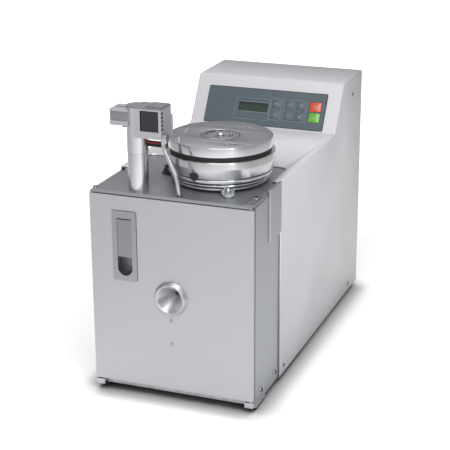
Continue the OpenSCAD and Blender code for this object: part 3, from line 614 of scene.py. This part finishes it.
def make_world():
    """A soft studio, brightest to the front right, and plain grey overhead."""
    world = bpy.data.worlds.new("studio")
    world.use_nodes = True
    bpy.context.scene.world = world
    tree = world.node_tree
    coords = add_node(tree, "ShaderNodeTexCoord", {})
    around, height = surround(tree, coords.outputs["Generated"])
    ramp = add_node(tree, "ShaderNodeValToRGB", {"Fac": height})
    stops = ramp.color_ramp.elements
    stops[0].position, stops[0].color = 0.1, (0, 0, 0, 1)
    stops[1].position, stops[1].color = 0.8, (1, 1, 1, 1)
    inputs = {"Factor": ramp.outputs["Color"], "A": around, "B": (0.50, 0.50, 0.51, 1)}
    mix = add_node(tree, "ShaderNodeMix", inputs, data_type="RGBA")
    background = tree.nodes["Background"]
    tree.links.new(mix.outputs["Result"], background.inputs["Color"])
    background.inputs["Strength"].default_value = 0.95


FLOOR_SIZE = 14.0
FLOOR_WHITE = (0.95, 0.95, 0.95)


def make_floor():
    """A white sheet under and behind the object, on a floor that is greyer to the sides."""
    s = Shader("studio_floor", FLOOR_WHITE, 0.8)
    around = surround(s.tree, s.coords)[0]

    def across(x, y, offset, low, high):
        """Goes from 0 to 1 as x * X + y * Y + offset goes from low to high."""
        dot = s.node("ShaderNodeVectorMath", {0: s.coords, 1: (x, y, 0)}, operation="DOT_PRODUCT")
        place = s.math("ADD", dot.outputs["Value"], offset)
        return s.node("ShaderNodeMapRange", {"Value": place, "From Min": low, "From Max": high},
                      interpolation_type="SMOOTHSTEP").outputs[0]

    # the sheet's edges, in the camera's directions: it widens to the back and ends in front
    c, k = math.cos(CAMERA_AZIMUTH), math.sin(CAMERA_AZIMUTH)
    slant, half, fade_from, fade_to = 0.20, 0.42, -0.18, 0.02
    left = across(c - k * slant, k + c * slant, half, fade_from, fade_to)
    right = across(-c - k * slant, -k + c * slant, half, fade_from, fade_to)
    front = across(-k, c, 0.0, -1.05, -0.75)
    sheet = s.math("MULTIPLY", s.math("MULTIPLY", left, right), front)
    white = s.math("ADD", s.math("MULTIPLY", sheet, 0.35), 0.65)
    mix = s.node("ShaderNodeMix", {"Factor": white, "A": around, "B": (*FLOOR_WHITE, 1)},
                 data_type="RGBA")
    # a narrow contact shadow, also taken off the sheet's glow, which grows to the back
    near = s.node("ShaderNodeAmbientOcclusion", {"Distance": 0.034}, samples=4)
    shade = s.math("POWER", near.outputs["AO"], 1.9)
    dull = s.node("ShaderNodeVectorMath", {0: mix.outputs["Result"], "Scale": shade}, operation="SCALE")
    s.feed("Base Color", dull.outputs[0])
    far = across(-k, c, 0.0, 0.25, 1.6)
    glow = s.math("MULTIPLY", sheet, s.math("ADD", s.math("MULTIPLY", far, 0.55), 0.25))
    s.shader.inputs["Emission Color"].default_value = (1, 1, 1, 1)
    s.feed("Emission Strength", s.math("MULTIPLY", glow, shade))
    mesh = bpy.data.meshes.new("studio_floor")
    corners = [(x * FLOOR_SIZE, y * FLOOR_SIZE, 0) for x, y in ((-1, -1), (1, -1), (1, 1), (-1, 1))]
    mesh.from_pydata(corners, [], [(0, 1, 2, 3)])
    mesh.materials.append(s.material)
    floor = add_object("studio_floor", mesh)


make_camera()
make_world()
make_floor()
softbox("front_top", 20, 55, 2.6, (1.8, 1.4), 34)
softbox("strip_right", 44, 22, 2.4, (0.22, 1.3), 5.5)
softbox("back_left", -150, 50, 2.6, (1.4, 1.2), 9)
bpy.context.scene.view_settings.view_transform = "Standard"


# ---------------------------------------------------------------- hood

def hood_shell():
    """Folded hood: lower deck with a notch, sloped face, top and side walls as one sheet."""
    bend, edge_r, steps = 2.6, 2.6, 4
    half = HOOD_HIGH.x
    y0, y1, bottom = HOOD_LOW.y, HOOD_HIGH.y, HOOD_LOW.z
    path = rounded([(y0, HOOD_DECK), SLOPE_FOOT, SLOPE_TOP, (y1, HOOD_HIGH.z)],
                   [0, bend, bend, 0], 5, closed=False)
    verts, faces = [], []

    rows = []
    for i, p in enumerate(path):
        along = (Vector(path[min(i + 1, len(path) - 1)]) - Vector(path[max(i - 1, 0)])).normalized()
        n = Vector((-along.y, along.x))
        row = []
        for sign in (-1, 1):
            arc = []
            for k in range(steps + 1):
                a = math.pi / 2 * k / steps
                q = Vector(p) - n * (edge_r * (1 - math.cos(a)))
                arc.append(len(verts))
                verts.append((sign * (half - edge_r + edge_r * math.sin(a)), q.x, q.y))
            row.append(arc)
        rows.append(row)
    for i in range(len(rows) - 1):
        left, right = rows[i]
        left2, right2 = rows[i + 1]
        for k in range(steps):
            faces.append((right[k], right[k + 1], right2[k + 1], right2[k]))
            faces.append((left[k + 1], left[k], left2[k], left2[k + 1]))
        if i > 0:
            faces.append((left[0], right[0], right2[0], left2[0]))
    # lower deck with the notch round the feeder
    notch_x, notch_y, notch_r = HALF_W - 10, FRONT + 165, 13
    cut = rounded([(notch_x, y0), (notch_x, notch_y), (-notch_x, notch_y), (-notch_x, y0)],
                  [0, notch_r, notch_r, 0], 8, closed=False)
    ring = [rows[0][1][0], rows[1][1][0], rows[1][0][0], rows[0][0][0]]
    start = len(verts)
    verts += [(x, y, HOOD_DECK) for x, y in reversed(cut)]
    faces.append(tuple(ring + list(range(start, start + len(cut)))))
    # side walls
    for side, flip in ((0, True), (1, False)):
        rim = [row[side][steps] for row in rows]
        x = verts[rim[0]][0]
        base = len(verts)
        verts += [(x, y1, bottom), (x, y0, bottom)]
        wall = tuple(rim + [base, base + 1])
        faces.append(wall if flip else wall[::-1])
    piece = build("hood_shell", (verts, faces), ["hood", "hood_rim"], "chassis",
                  ["hood"], sharp=30)
    sheet = piece.modifiers.new("sheet", "SOLIDIFY")
    sheet.thickness = (HOOD_SHEET - 0.1) * MM
    sheet.offset = -1
    sheet.use_even_offset = True
    # the rim faces take the second material, the painted highlight
    sheet.material_offset_rim = 1


hood_shell()


# ---------------------------------------------------------------- deck and body

# painted shade: faces at the deck's height that face up or down take the darker deck steel, the rest the
# side steel
def deck_or_side(centre, normal):
    return 0 if centre.z > DECK_Z - 8 and abs(normal.z) > 0.3 else 1


# painted shade: faces set back from the door front take the darker copy of the latch steel
def recess_or_face(centre, normal):
    return 1 if centre.y > FRONT + 0.3 else 0


def edge_or_face(centre, normal):
    return 0 if normal.y < -0.6 else 1


soften("deck_shell", ["deck", "side"], 0.5, choose=deck_or_side)
soften("side_flanges", ["edge", "side"], 0.5, choose=edge_or_face)
soften("latch_housing", ["latch", "pocket"], 0.4, choose=recess_or_face)
for node, material, bevel in (
    ("feet", "rubber", 0.5), ("corner_blocks", "steel", 0.4), ("upper_hinge_arm", "deck", 0.5),
    ("door_panel", "door", 0.5), ("latch_paddle", "pull", 0.4),
    ("solenoid_coil", "black", 0.6), ("head_cover", "cover", 0.3),
    ("power_switch", "rocker", 0.4), ("mains_inlet", "black", 0.3), ("rear_panel", "hood", 0.25),
):
    soften(node, material, bevel)
for node, material in (
    ("base_tray", "zinc"), ("bulkhead", "zinc"), ("hinge_pins", "chrome"), ("latch_keeper", "dark"),
    ("drive_base", "dark"), ("drive_core", "tool"), ("drive_coil", "copper"), ("leaf_springs", "tool"),
    ("crimp_housing", "tool"), ("gear_motor", "dark"), ("power_supply", "zinc"),
    ("control_board", "pcb"), ("scrap_tray", "zinc"), ("latch_pawl", "tool"), ("armature", "steel"),
    ("cam_ring", "tool"), ("crimp_jaw_1", "tool"), ("crimp_jaw_2", "tool"), ("crimp_jaw_3", "tool"),
    ("crimp_jaw_4", "tool"), ("drive_pinion", "brass"), ("separator_slide", "tool"),
):
    keep(node, material)

# painted shadow: a small black peg on the left edge of the deck, for the dark gap in front of the hood's
# left rim
build("deck_edge_painted_shadow", peg(2.4, 2.6, at(-103.5, FRONT + 89, DECK_Z), 32, top=0.8), "black", "chassis")


# ---------------------------------------------------------------- door fittings

def funnel_look():
    """Polished entry cone with its raised collar, turned about the wire's axis."""
    tail = box_mm("wire_funnel")[1].y - FRONT
    outline = [(22.5, 0), (22.5, 1.2), (19.6, 6), (18.2, 6), (16.8, 4.6), (2.5, -19), (2.5, -tail),
               (7, -tail), (7, -14), (12, -14), (12, -8), (14, -8), (14, 0)]
    radii = [0, 0.8, 1.0, 0.9, 1.2, 0.8, 0, 0, 0, 0, 0, 0, 0]
    place = facing_front(FRONT, FUNNEL.x, FUNNEL.z)
    build("wire_funnel_look", lathe_mesh(rounded(outline, radii, 4), place, 128), "funnel", "door",
          ["wire_funnel"])
    # painted shade: a black disc deep in the wire's bore
    dark = solid_disc([(0, -tail + 1), (2.4, -tail + 1), (2.4, -tail + 2), (0, -tail + 2)], place, 32)
    build("wire_throat_painted_shade", dark, "recess", "door")


def screw_shape(place, r, h):
    """Low pan head with a cross recess, along local Z."""
    drive = 0.42
    side = [(r, 0), (r, h * 0.5), (r * 0.62, h), (r * drive, h), (r * drive * 0.8, h * 0.3)]
    profile = [(0, 0), *rounded(side, [0, h * 0.3, h * 0.3, 0.05, 0], 4, closed=False), (0, h * 0.25)]
    cross = [plate_mesh([rectangle(0, 0, r * drive * 1.9, r * 0.16, 0.02, 1)], h * 0.35,
                        place @ at(0, 0, h * 0.2) @ Matrix.Rotation(turn, 4, "Z"), 0.02, 1)
             for turn in (0.4, 0.4 + math.pi / 2)]
    return merge([solid_disc(profile, place, 40), *cross])


def door_screw_look():
    low, high = box_mm("door_screws")
    r = (high.x - low.x) / 2
    places = [facing_front(FRONT, (low.x + high.x) / 2, z) for z in (high.z - r, low.z + r)]
    heads = [screw_shape(place, r, 1.1) for place in places]
    build("door_screw_heads", merge(heads), "steel", "door", ["door_screws"])
    # painted shade: a black peg in each screw's cross recess
    socket_dot_shades = [peg(r * 0.34, 0.42, place, 24) for place in places]
    build("door_screw_socket_shades", merge(socket_dot_shades), "recess", "door")


def cover_screw_look():
    """Puts a screw wherever the cover_screws node has one, with a black peg in its cross recess as painted
    shade.
    """
    work = bmesh.new()
    work.from_mesh(NODES["cover_screws"].data)
    heads, hole_shade_pegs, left = [], [], set(work.verts)
    for first in work.verts:
        if first not in left:
            continue
        left.discard(first)
        island, edge = set(), [first]
        while edge:
            vert = edge.pop()
            island.add(vert)
            for near in (e.other_vert(vert) for e in vert.link_edges):
                if near in left:
                    left.discard(near)
                    edge.append(near)
        low = Vector([min(v.co[k] for v in island) for k in range(3)]) / MM
        high = Vector([max(v.co[k] for v in island) for k in range(3)]) / MM
        size, middle = high - low, (low + high) / 2
        thin = min(range(3), key=lambda k: size[k])
        h, r = size[thin], max(size) / 2
        if thin == 2:
            place = at(middle.x, middle.y, low.z)
        elif thin == 0:
            side = 1 if middle.x > 0 else -1
            place = at(0, middle.y, middle.z) @ facing_side(low.x if side > 0 else high.x, side)
        else:
            place = at(middle.x, low.y, middle.z) @ Matrix.Rotation(-math.pi / 2, 4, "X")
        heads.append(screw_shape(place, r, h))
        hole_shade_pegs.append(peg(r * 0.36, h * 0.52, place, 24))
    work.free()
    build("cover_screw_heads", merge(heads), "steel", "chassis", ["cover_screws"])
    build("cover_screw_socket_shades", merge(hole_shade_pegs), "recess", "chassis")


def hinge_arm_look():
    """Dark line pressed round the upper hinge arm."""
    low, high = box_mm("upper_hinge_arm")
    x, y = (low.x + high.x) / 2, (low.y + high.y) / 2
    w, h = high.x - low.x - 2.4, high.y - low.y - 3
    line = plate_mesh([rectangle(x, y, w, h, w / 2 - 0.2), rectangle(x, y, w - 1.8, h - 1.8, w / 2 - 1.1)],
                      0.16, at(0, 0, high.z - 0.05), 0.04, 1)
    build("hinge_arm_line", line, "dark", "chassis", sharp=20)


def latch_line():
    """Thin seam where the latch's flange meets the door."""
    w, h = 33.9, 93.9
    place = facing_front(FRONT, LATCH.x, LATCH.z)
    line = plate_mesh([rectangle(0, 0, w, h, 2.2), rectangle(0, 0, w - 2, h - 2, 1.6)], 0.3, place, 0.08, 1)
    build("latch_seam", line, "dark", "door", sharp=20)


cover_screw_look()
hinge_arm_look()
latch_line()
funnel_look()
door_screw_look()


# ---------------------------------------------------------------- key panel

PANEL_V0, PANEL_V, PANEL_W = 3.0, 55.0, 182.0
LCD = (-18, 30.4, 46, 13.5)
KEY_COLUMNS, KEY_ROWS = (16.8, 37.2, 54.6), (38, 21)
KEY_ICONS = (0, 1, 3, 2, 5, 4)
BIG_X, BIG_ROWS = 76.5, (37.8, 21.6)
KEY_SIZE, BIG_SIZE, KEY_GAP = (14, 13.4), (17, 14.6), 0.4
PRINT_Z, MARK_Z = 1.58, 2.26
PRINTED_BOXES = ((-19.5, 27.3, 53, 32.4), (16.8, 29.5, 16.6, 33), (45.9, 29.5, 35.6, 33))


def on_panel(z=0.0):
    return ON_SLOPE @ at(0, 0, z)


def printed_frame(x, y, outer, inner, thickness=0.12):
    """A thin printed line between two rectangles, each given as (width, height, corner radius)."""
    return plate_mesh([rectangle(x, y, *outer), rectangle(x, y, *inner)], thickness, on_panel(PRINT_Z),
                      0.03, 1)


def panel_look():
    soften("control_bezel", "foil", 0.3)
    middle = PANEL_V0 + PANEL_V / 2
    # painted shadow: a black plate under the key panel shows as a dark line round its edge, widest at the
    # top and right
    shadow_rim = [rectangle(0.3, middle + 0.4, PANEL_W + 1.4, PANEL_V + 1.6, 2),
              rectangle(0, middle, PANEL_W - 3, PANEL_V - 3, 1)]
    build("panel_painted_shadow_rim", plate_mesh(shadow_rim, 0.5, on_panel(), 0.1, 1), "black", "chassis")
    lines = [printed_frame(x, y, (w + 0.2, h + 0.2, 0.8), (w - 0.7, h - 0.7, 0.5))
             for x, y, w, h in PRINTED_BOXES]
    lines += [printed_frame(x, y, (15.0, 14.4, 1.0), (14.3, 13.7, 0.8), 0.1)
              for x in KEY_COLUMNS for y in KEY_ROWS]
    x, y, w, h = LCD
    lines.append(printed_frame(x, y, (w + 2.2, h + 2.2, 0.6), (w + 1.2, h + 1.2, 0.4)))
    build("panel_printed_lines", merge(lines), "print", "chassis", sharp=20)
    soften("display_module", "lcd", 0.1)
    window = plate_mesh([rectangle(x, y, w - 0.3, h - 0.3, 0.4)], 0.5, on_panel(0.8), 0.1, 1)
    build("display_window", window, "glass", "chassis")
    # painted shade: a near-black strip across the top of the display window
    shade = plate_mesh([rectangle(x, y + h * 0.36, w - 0.5, h * 0.24, 0.2)], 0.1, on_panel(1.3), 0.03, 1)
    build("display_painted_shade", shade, "seal", "chassis")


def icon_shape(kind, x, y, size):
    """Simple generic marks: 0 and 1 are arrows, 2 and 3 minus and plus, 4 two bars and 5 a frame."""
    s = size
    bar = rectangle(x, y, 2 * s, s * 0.45)
    up = [(x - s, y - s * 0.6), (x + s, y - s * 0.6), (x, y + s * 0.9)]
    down = [(x - s, y + s * 0.6), (x, y - s * 0.9), (x + s, y + s * 0.6)]
    shapes = ([up], [down], [bar],
              [bar, *(rectangle(x, y + k * s * 0.65, s * 0.45, s * 0.8) for k in (1, -1))],
              [rectangle(x + k * s * 0.5, y, s * 0.5, 2 * s) for k in (-1, 1)],
              [*(rectangle(x, y + k * s * 0.8, 2 * s, s * 0.35) for k in (1, -1)),
               *(rectangle(x + k * s * 0.85, y, s * 0.35, 1.2 * s) for k in (-1, 1))])
    return merge([plate_mesh([loop], 0.1, on_panel(MARK_Z), 0.02, 1) for loop in shapes[kind]])


def key_look(node, x, y, material, icon, size, mark):
    """One key cap with a softly domed top and its printed mark."""
    w, h = (side - KEY_GAP for side in (BIG_SIZE if "key_s" in node else KEY_SIZE))
    skirt = plate_mesh([rectangle(x, y, w, h, 1.2)], 5.4, on_panel(-3.5), 0.5, 3)
    cap = plate_mesh([rectangle(x, y, w - 1.8, h - 1.8, 1.2)], 0.7, on_panel(1.6), 0.35, 3)
    body = BODY_OF[node]
    build(node + "_cap", merge([skirt, cap]), material, body, [node])
    build(node + "_mark", icon_shape(icon, x, y, size), mark, body, sharp=20)


panel_look()
for index, icon in enumerate(KEY_ICONS):
    key_look(f"key_{index + 1}", KEY_COLUMNS[index // 2], KEY_ROWS[index % 2], "key", icon, 1.5, "icon")
key_look("key_stop", BIG_X, BIG_ROWS[0], "red", 5, 2.2, "icon")
key_look("key_start", BIG_X, BIG_ROWS[1], "green", 4, 2.2, "icon")


# ---------------------------------------------------------------- bowl feeder

RING_TOP = DECK_Z + 18
BOWL_Z, BOWL_TOP = BOWL_LOW.z, BOWL_HIGH.z
LID_Z = BOWL_TOP + 5.7
STUD_RING, STUD_ANGLES = 48.5, (-60, 60, 177)
SHUTTER_R = 24.0
CENTRE = at(BOWL.x, BOWL.y, 0)


def polar(radius, degrees):
    return radius * math.cos(math.radians(degrees)), radius * math.sin(math.radians(degrees))


def base_ring_look():
    z = RING_TOP - 15
    outline = [(49, DECK_Z), (54, DECK_Z), (54, z), (61, z), (61, z + 3.8), (58, z + 3.8), (58, z + 5.4),
               (64, z + 5.4), (64, z + 8.6), (61, z + 8.6), (61, z + 10.2), (66.6, z + 10.2),
               (66.6, RING_TOP), (49, RING_TOP)]
    radii = [0, 0, 0, 1.4, 1.6, 0, 0, 1.3, 1.6, 0, 0, 1.3, 0.9, 0]

    # painted shade: the foot below the steps and the bottoms of the two grooves take the near-black
    def painted_shade_in_grooves(centre, normal):
        r = math.hypot(centre.x - BOWL.x, centre.y - BOWL.y)
        grooves = ((z + 5.4, 60.4), (z + 10.2, 63.4))
        in_groove = any(r < limit and top - 1.7 < centre.z < top + 0.01 for top, limit in grooves)
        return 1 if r < 54.5 or in_groove else 0

    build("base_ring_turned", lathe_mesh(rounded(outline, radii, 5), CENTRE, 160), ["ring", "seal"],
          "chassis", ["bowl_base_ring"], painted_shade_in_grooves)


def bowl_look():
    outline = [(0, BOWL_Z), (BOWL_R - 4, BOWL_Z), (BOWL_R - 3, BOWL_Z + 1), (BOWL_R, BOWL_Z + 13.5),
               (BOWL_R, BOWL_TOP), (BOWL_R - 6, BOWL_TOP), (BOWL_R - 6, BOWL_Z + 3), (14, BOWL_Z + 4.5),
               (6, BOWL_Z + 9), (0, BOWL_Z + 9)]
    radii = [0, 0.4, 1.0, 1.5, 1.0, 0.6, 3.0, 6.0, 2.0, 0]
    build("bowl_turned", solid_disc(rounded(outline, radii, 5), CENTRE, 192), "bowl", "feeder_bowl",
          ["bowl"])
    outer, inner, steps = BOWL_R - 5.8, BOWL_R - 12, 120
    verts, faces = [], []
    for i in range(steps + 1):
        a, z = 2 * math.pi * i / steps, BOWL_Z + 4 + 10.8 * i / steps
        for r, lift in ((outer, 0), (inner, 0.5), (inner, 1.9), (outer, 1.4)):
            verts.append((BOWL.x + r * math.cos(a), BOWL.y + r * math.sin(a), z + lift))
    for i in range(steps):
        for k in range(4):
            m = (k + 1) % 4
            faces.append((i * 4 + k, i * 4 + m, i * 4 + 4 + m, i * 4 + 4 + k))
    faces += [(3, 2, 1, 0), tuple(steps * 4 + k for k in range(4))]
    build("bowl_track", (verts, faces), "bowl", "feeder_bowl")
    # painted shade: a black disc, slightly hollowed, set into the bowl's wall for the dark of a hole in its
    # side
    outlet = CENTRE @ Matrix.Rotation(math.radians(-98), 4, "Z") @ at(0, 0, BOWL_Z + 3.6) \
        @ Matrix.Rotation(math.pi / 2, 4, "Y")
    side_hole_profile = rounded([(0, BOWL_R - 6), (5.4, BOWL_R - 6), (5.4, BOWL_R + 0.3), (3.6, BOWL_R + 0.3),
                    (3.2, BOWL_R - 0.8), (0, BOWL_R - 0.8)], [0, 0, 0.6, 0.3, 0.3, 0], 3)
    build("bowl_side_hole_painted_shade", solid_disc(side_hole_profile, outlet, 40), "black", "feeder_bowl")


def lid_look():
    """Thick lid with stud holes, a seat for the shutter and a half disc hole to the bowl."""
    def beside(angle, reach, r):
        (x, y), (dx, dy) = polar(STUD_RING, angle), polar(reach, angle + 90)
        return x + dx, y + dy, r

    spots = [beside(angle, reach, 1.6) for angle in STUD_ANGLES for reach in (-5.6, 5.6)]
    spots.append(beside(STUD_ANGLES[0], 10.5, 2.1))
    holes = [circle(px, py, r, 20) for px, py, r in spots]
    outline = circle(0, 0, LID_R, 192)
    seat = circle(0, 0, SHUTTER_R + 0.9, 96)
    top = plate_mesh([outline, seat, *holes], LID_TOP - LID_Z, CENTRE @ at(0, 0, LID_Z), 0.7, 3)

    def top_or_side(centre, normal):
        return 0 if abs(normal.z) > 0.75 else 1

    floor_loops = [circle(0, 0, SHUTTER_R + 1.2, 64), half_moon(1)]
    floor = plate_mesh(floor_loops, 3.0, CENTRE @ at(0, 0, LID_TOP - 4.1), 0.05, 1)
    build("lid_body", merge([top, floor]), ["lid_top", "lid_side"], "lid", ["bowl_lid"],
          top_or_side)
    # painted shade: a near-black ring in the groove between the bowl and the lid
    neck = [(58, BOWL_TOP), (65, BOWL_TOP), (65, LID_Z + 0.2), (58, LID_Z + 0.2)]
    build("lid_neck_painted_shade", lathe_mesh(neck, CENTRE, 160), "seal", "lid")
    # painted shade: a near-black disc just under the top in each stud hole
    hole_shade_pegs = [peg(r - 0.05, 0.5, CENTRE @ at(px, py, LID_TOP - 0.8), 20) for px, py, r in spots]
    build("lid_stud_hole_shades", merge(hole_shade_pegs), "seal", "lid")
    # painted shade: a near-black strip set into the lid's side for the slit
    slit = CENTRE @ Matrix.Rotation(math.radians(21), 4, "Z") @ at(67.0 - 0.35, 0, (LID_TOP + LID_Z) / 2) \
        @ Matrix.Rotation(math.pi / 2, 4, "Y")
    build("lid_slit_painted_shade", plate_mesh([rectangle(0, 0, 9.5, 0.9, 0.3)], 0.4, slit, 0.05, 1), "seal", "lid")
    soften("lid_pins", "chrome", 0.2)


def half_moon(side):
    """Outline of the half disc hole to one side of the shutter's screw."""
    r, start = SHUTTER_R - 3.5, 4.0
    limit = math.acos(start / r)
    angles = [limit * (k / 12 - 1) for k in range(25)]
    arc = [(side * r * math.cos(a), r * math.sin(a)) for a in angles]
    return rounded(arc, [1.5] + [0] * (len(arc) - 2) + [1.5], 4)


def widen(loop, reach):
    """The loop moved outwards by reach from its middle."""
    x, y = sum(p[0] for p in loop) / len(loop), sum(p[1] for p in loop) / len(loop)
    span = max(math.hypot(p[0] - x, p[1] - y) for p in loop)
    scale = 1 + reach / span
    return [(x + (p[0] - x) * scale, y + (p[1] - y) * scale) for p in loop]


def shutter_look():
    loops = [circle(0, 0, SHUTTER_R, 96), half_moon(-1), circle(0, 0, 3.2, 24)]
    disc = plate_mesh(loops, 1.0, CENTRE @ at(0, 0, LID_TOP - 1.0), 0.15, 2)
    knob = peg(2.4, 3.2, CENTRE @ at(14, 0, LID_TOP), 32, top=0.9)
    build("shutter_disc", merge([disc, knob]), "lid_top", "shutter", ["refill_shutter"])
    # painted shadow: a near-black line round each half disc hole
    lines = []
    for side in (-1, 1):
        hole = half_moon(side)
        lines.append(plate_mesh([widen(hole, 1.1), hole], 0.12, CENTRE @ at(0, 0, LID_TOP - 0.05), 0.03, 1))
    build("shutter_shadow_lines", merge(lines), "seal", "shutter", sharp=20)
    # painted shadow: a near-black ring in the gap round the shutter
    rim = lathe_mesh([(SHUTTER_R + 0.05, LID_TOP - 1.0), (SHUTTER_R + 0.85, LID_TOP - 1.0),
                      (SHUTTER_R + 0.85, LID_TOP - 0.4), (SHUTTER_R + 0.05, LID_TOP - 0.4)], CENTRE, 96)
    build("shutter_seat_shadow_line", rim, "seal", "lid")


def clamp_look():
    """Steel clamps; the one on the left, in shadow, gets dark paint as painted shade."""
    shade_until_x = -30.0

    def painted_shade_on_left(centre, normal):
        return 1 if centre.x < shade_until_x else 0

    soften("bowl_clamps", ["steel", "dark"], 0.6, choose=painted_shade_on_left, segments=3)


base_ring_look()
bowl_look()
lid_look()
shutter_look()
clamp_look()


# ---------------------------------------------------------------- tower

SEAM_Z = box_mm("column_upper")[0].z
COLUMN_R = 13.0


def column_look():
    foot = rounded([(0, DECK_Z), (COLUMN_R, DECK_Z), (COLUMN_R, SEAM_Z - 0.4), (COLUMN_R - 0.5, SEAM_Z),
                    (0, SEAM_Z)], [0, 0.5, 0.3, 0, 0], 4)
    build("column_lower_turned", solid_disc(foot, at(COLUMN.x, COLUMN.y, 0), 128), "column", "chassis",
          ["column_lower"])

    def parts(centre, normal):
        """The round neck is turned, the window and the comb in the head are dark, the rest is milled."""
        x, y, z = centre.x, centre.y - FRONT, centre.z
        near_column = math.hypot(centre.x - COLUMN.x, centre.y - COLUMN.y) < COLUMN_R + 0.6
        window = -39.2 < x < -14.3 and 4.05 < y < 12 and 357.8 < z < 384.2
        comb = -16 < x < -11.05 and 5 < y < 11 and z > 359
        if window or comb:
            return 2
        return 0 if near_column and abs(normal.z) < 0.5 else 1

    soften("column_upper", ["column", "head", "recess"], 0.35, choose=parts, sharp=30)

    # painted shade: faces set back in the actuator's front slot and faces looking down take the darker copy
    def shaded_slot_and_underside(centre, normal):
        return 1 if normal.y < -0.5 and centre.y > FRONT + 5.5 or normal.z < -0.5 else 0

    soften("actuator_body", ["head", "head_painted_shade"], 0.4, choose=shaded_slot_and_underside)


def chute_look():
    """Bent tube that takes the ferrules from the head to the funnel's axis."""
    y = FRONT + 9
    stops = [Vector(p) for p in ((-10.4, y, 348.6), (-10.4, y, 339), (6.3, y, 303), (10.3, y, 277),
                                 (0, FRONT + 26, 156))]

    def bend(i, reach, steps=8):
        q = stops[i]
        a = q + (stops[i - 1] - q).normalized() * reach
        b = q + (stops[i + 1] - q).normalized() * reach
        parts = [k / steps for k in range(steps + 1)]
        return [(1 - t) ** 2 * a + 2 * t * (1 - t) * q + t ** 2 * b for t in parts]

    path = [stops[0], *bend(1, 7), *bend(2, 9), *bend(3, 9), stops[4]]
    block = plate_mesh([rectangle(-7.8, y, 6.4, 10, 0.8)], 10.8, at(0, 0, 345.2), 0.4, 2)
    build("drop_chute_tube", merge([tube_mesh(path, 3.0, 32, 2.0), block]), "tube", "chassis",
          ["drop_chute"])


def hose_look():
    """Two short rigid hose stubs in the head's fitting."""
    left, right, y = box_mm("hose_stubs")[0].x, -14.5, COLUMN.y
    red = tube_mesh([(left, y, 341.3), (-24, y, 341.0), (right, y, 341.3)], 2.2, 24)
    build("hose_red", red, "hose", "chassis", ["hose_stubs"])
    black = tube_mesh([(left, y, 337.4), (right, y, 337.4)], 1.9, 24)
    build("hose_black", black, "rubber", "chassis")
    block = plate_mesh([rectangle(-12, y, 5, 8, 0.6)], 10, at(0, 0, 334.5), 0.4, 2)
    build("hose_fitting", block, "black", "chassis")


column_look()
chute_look()
hose_look()
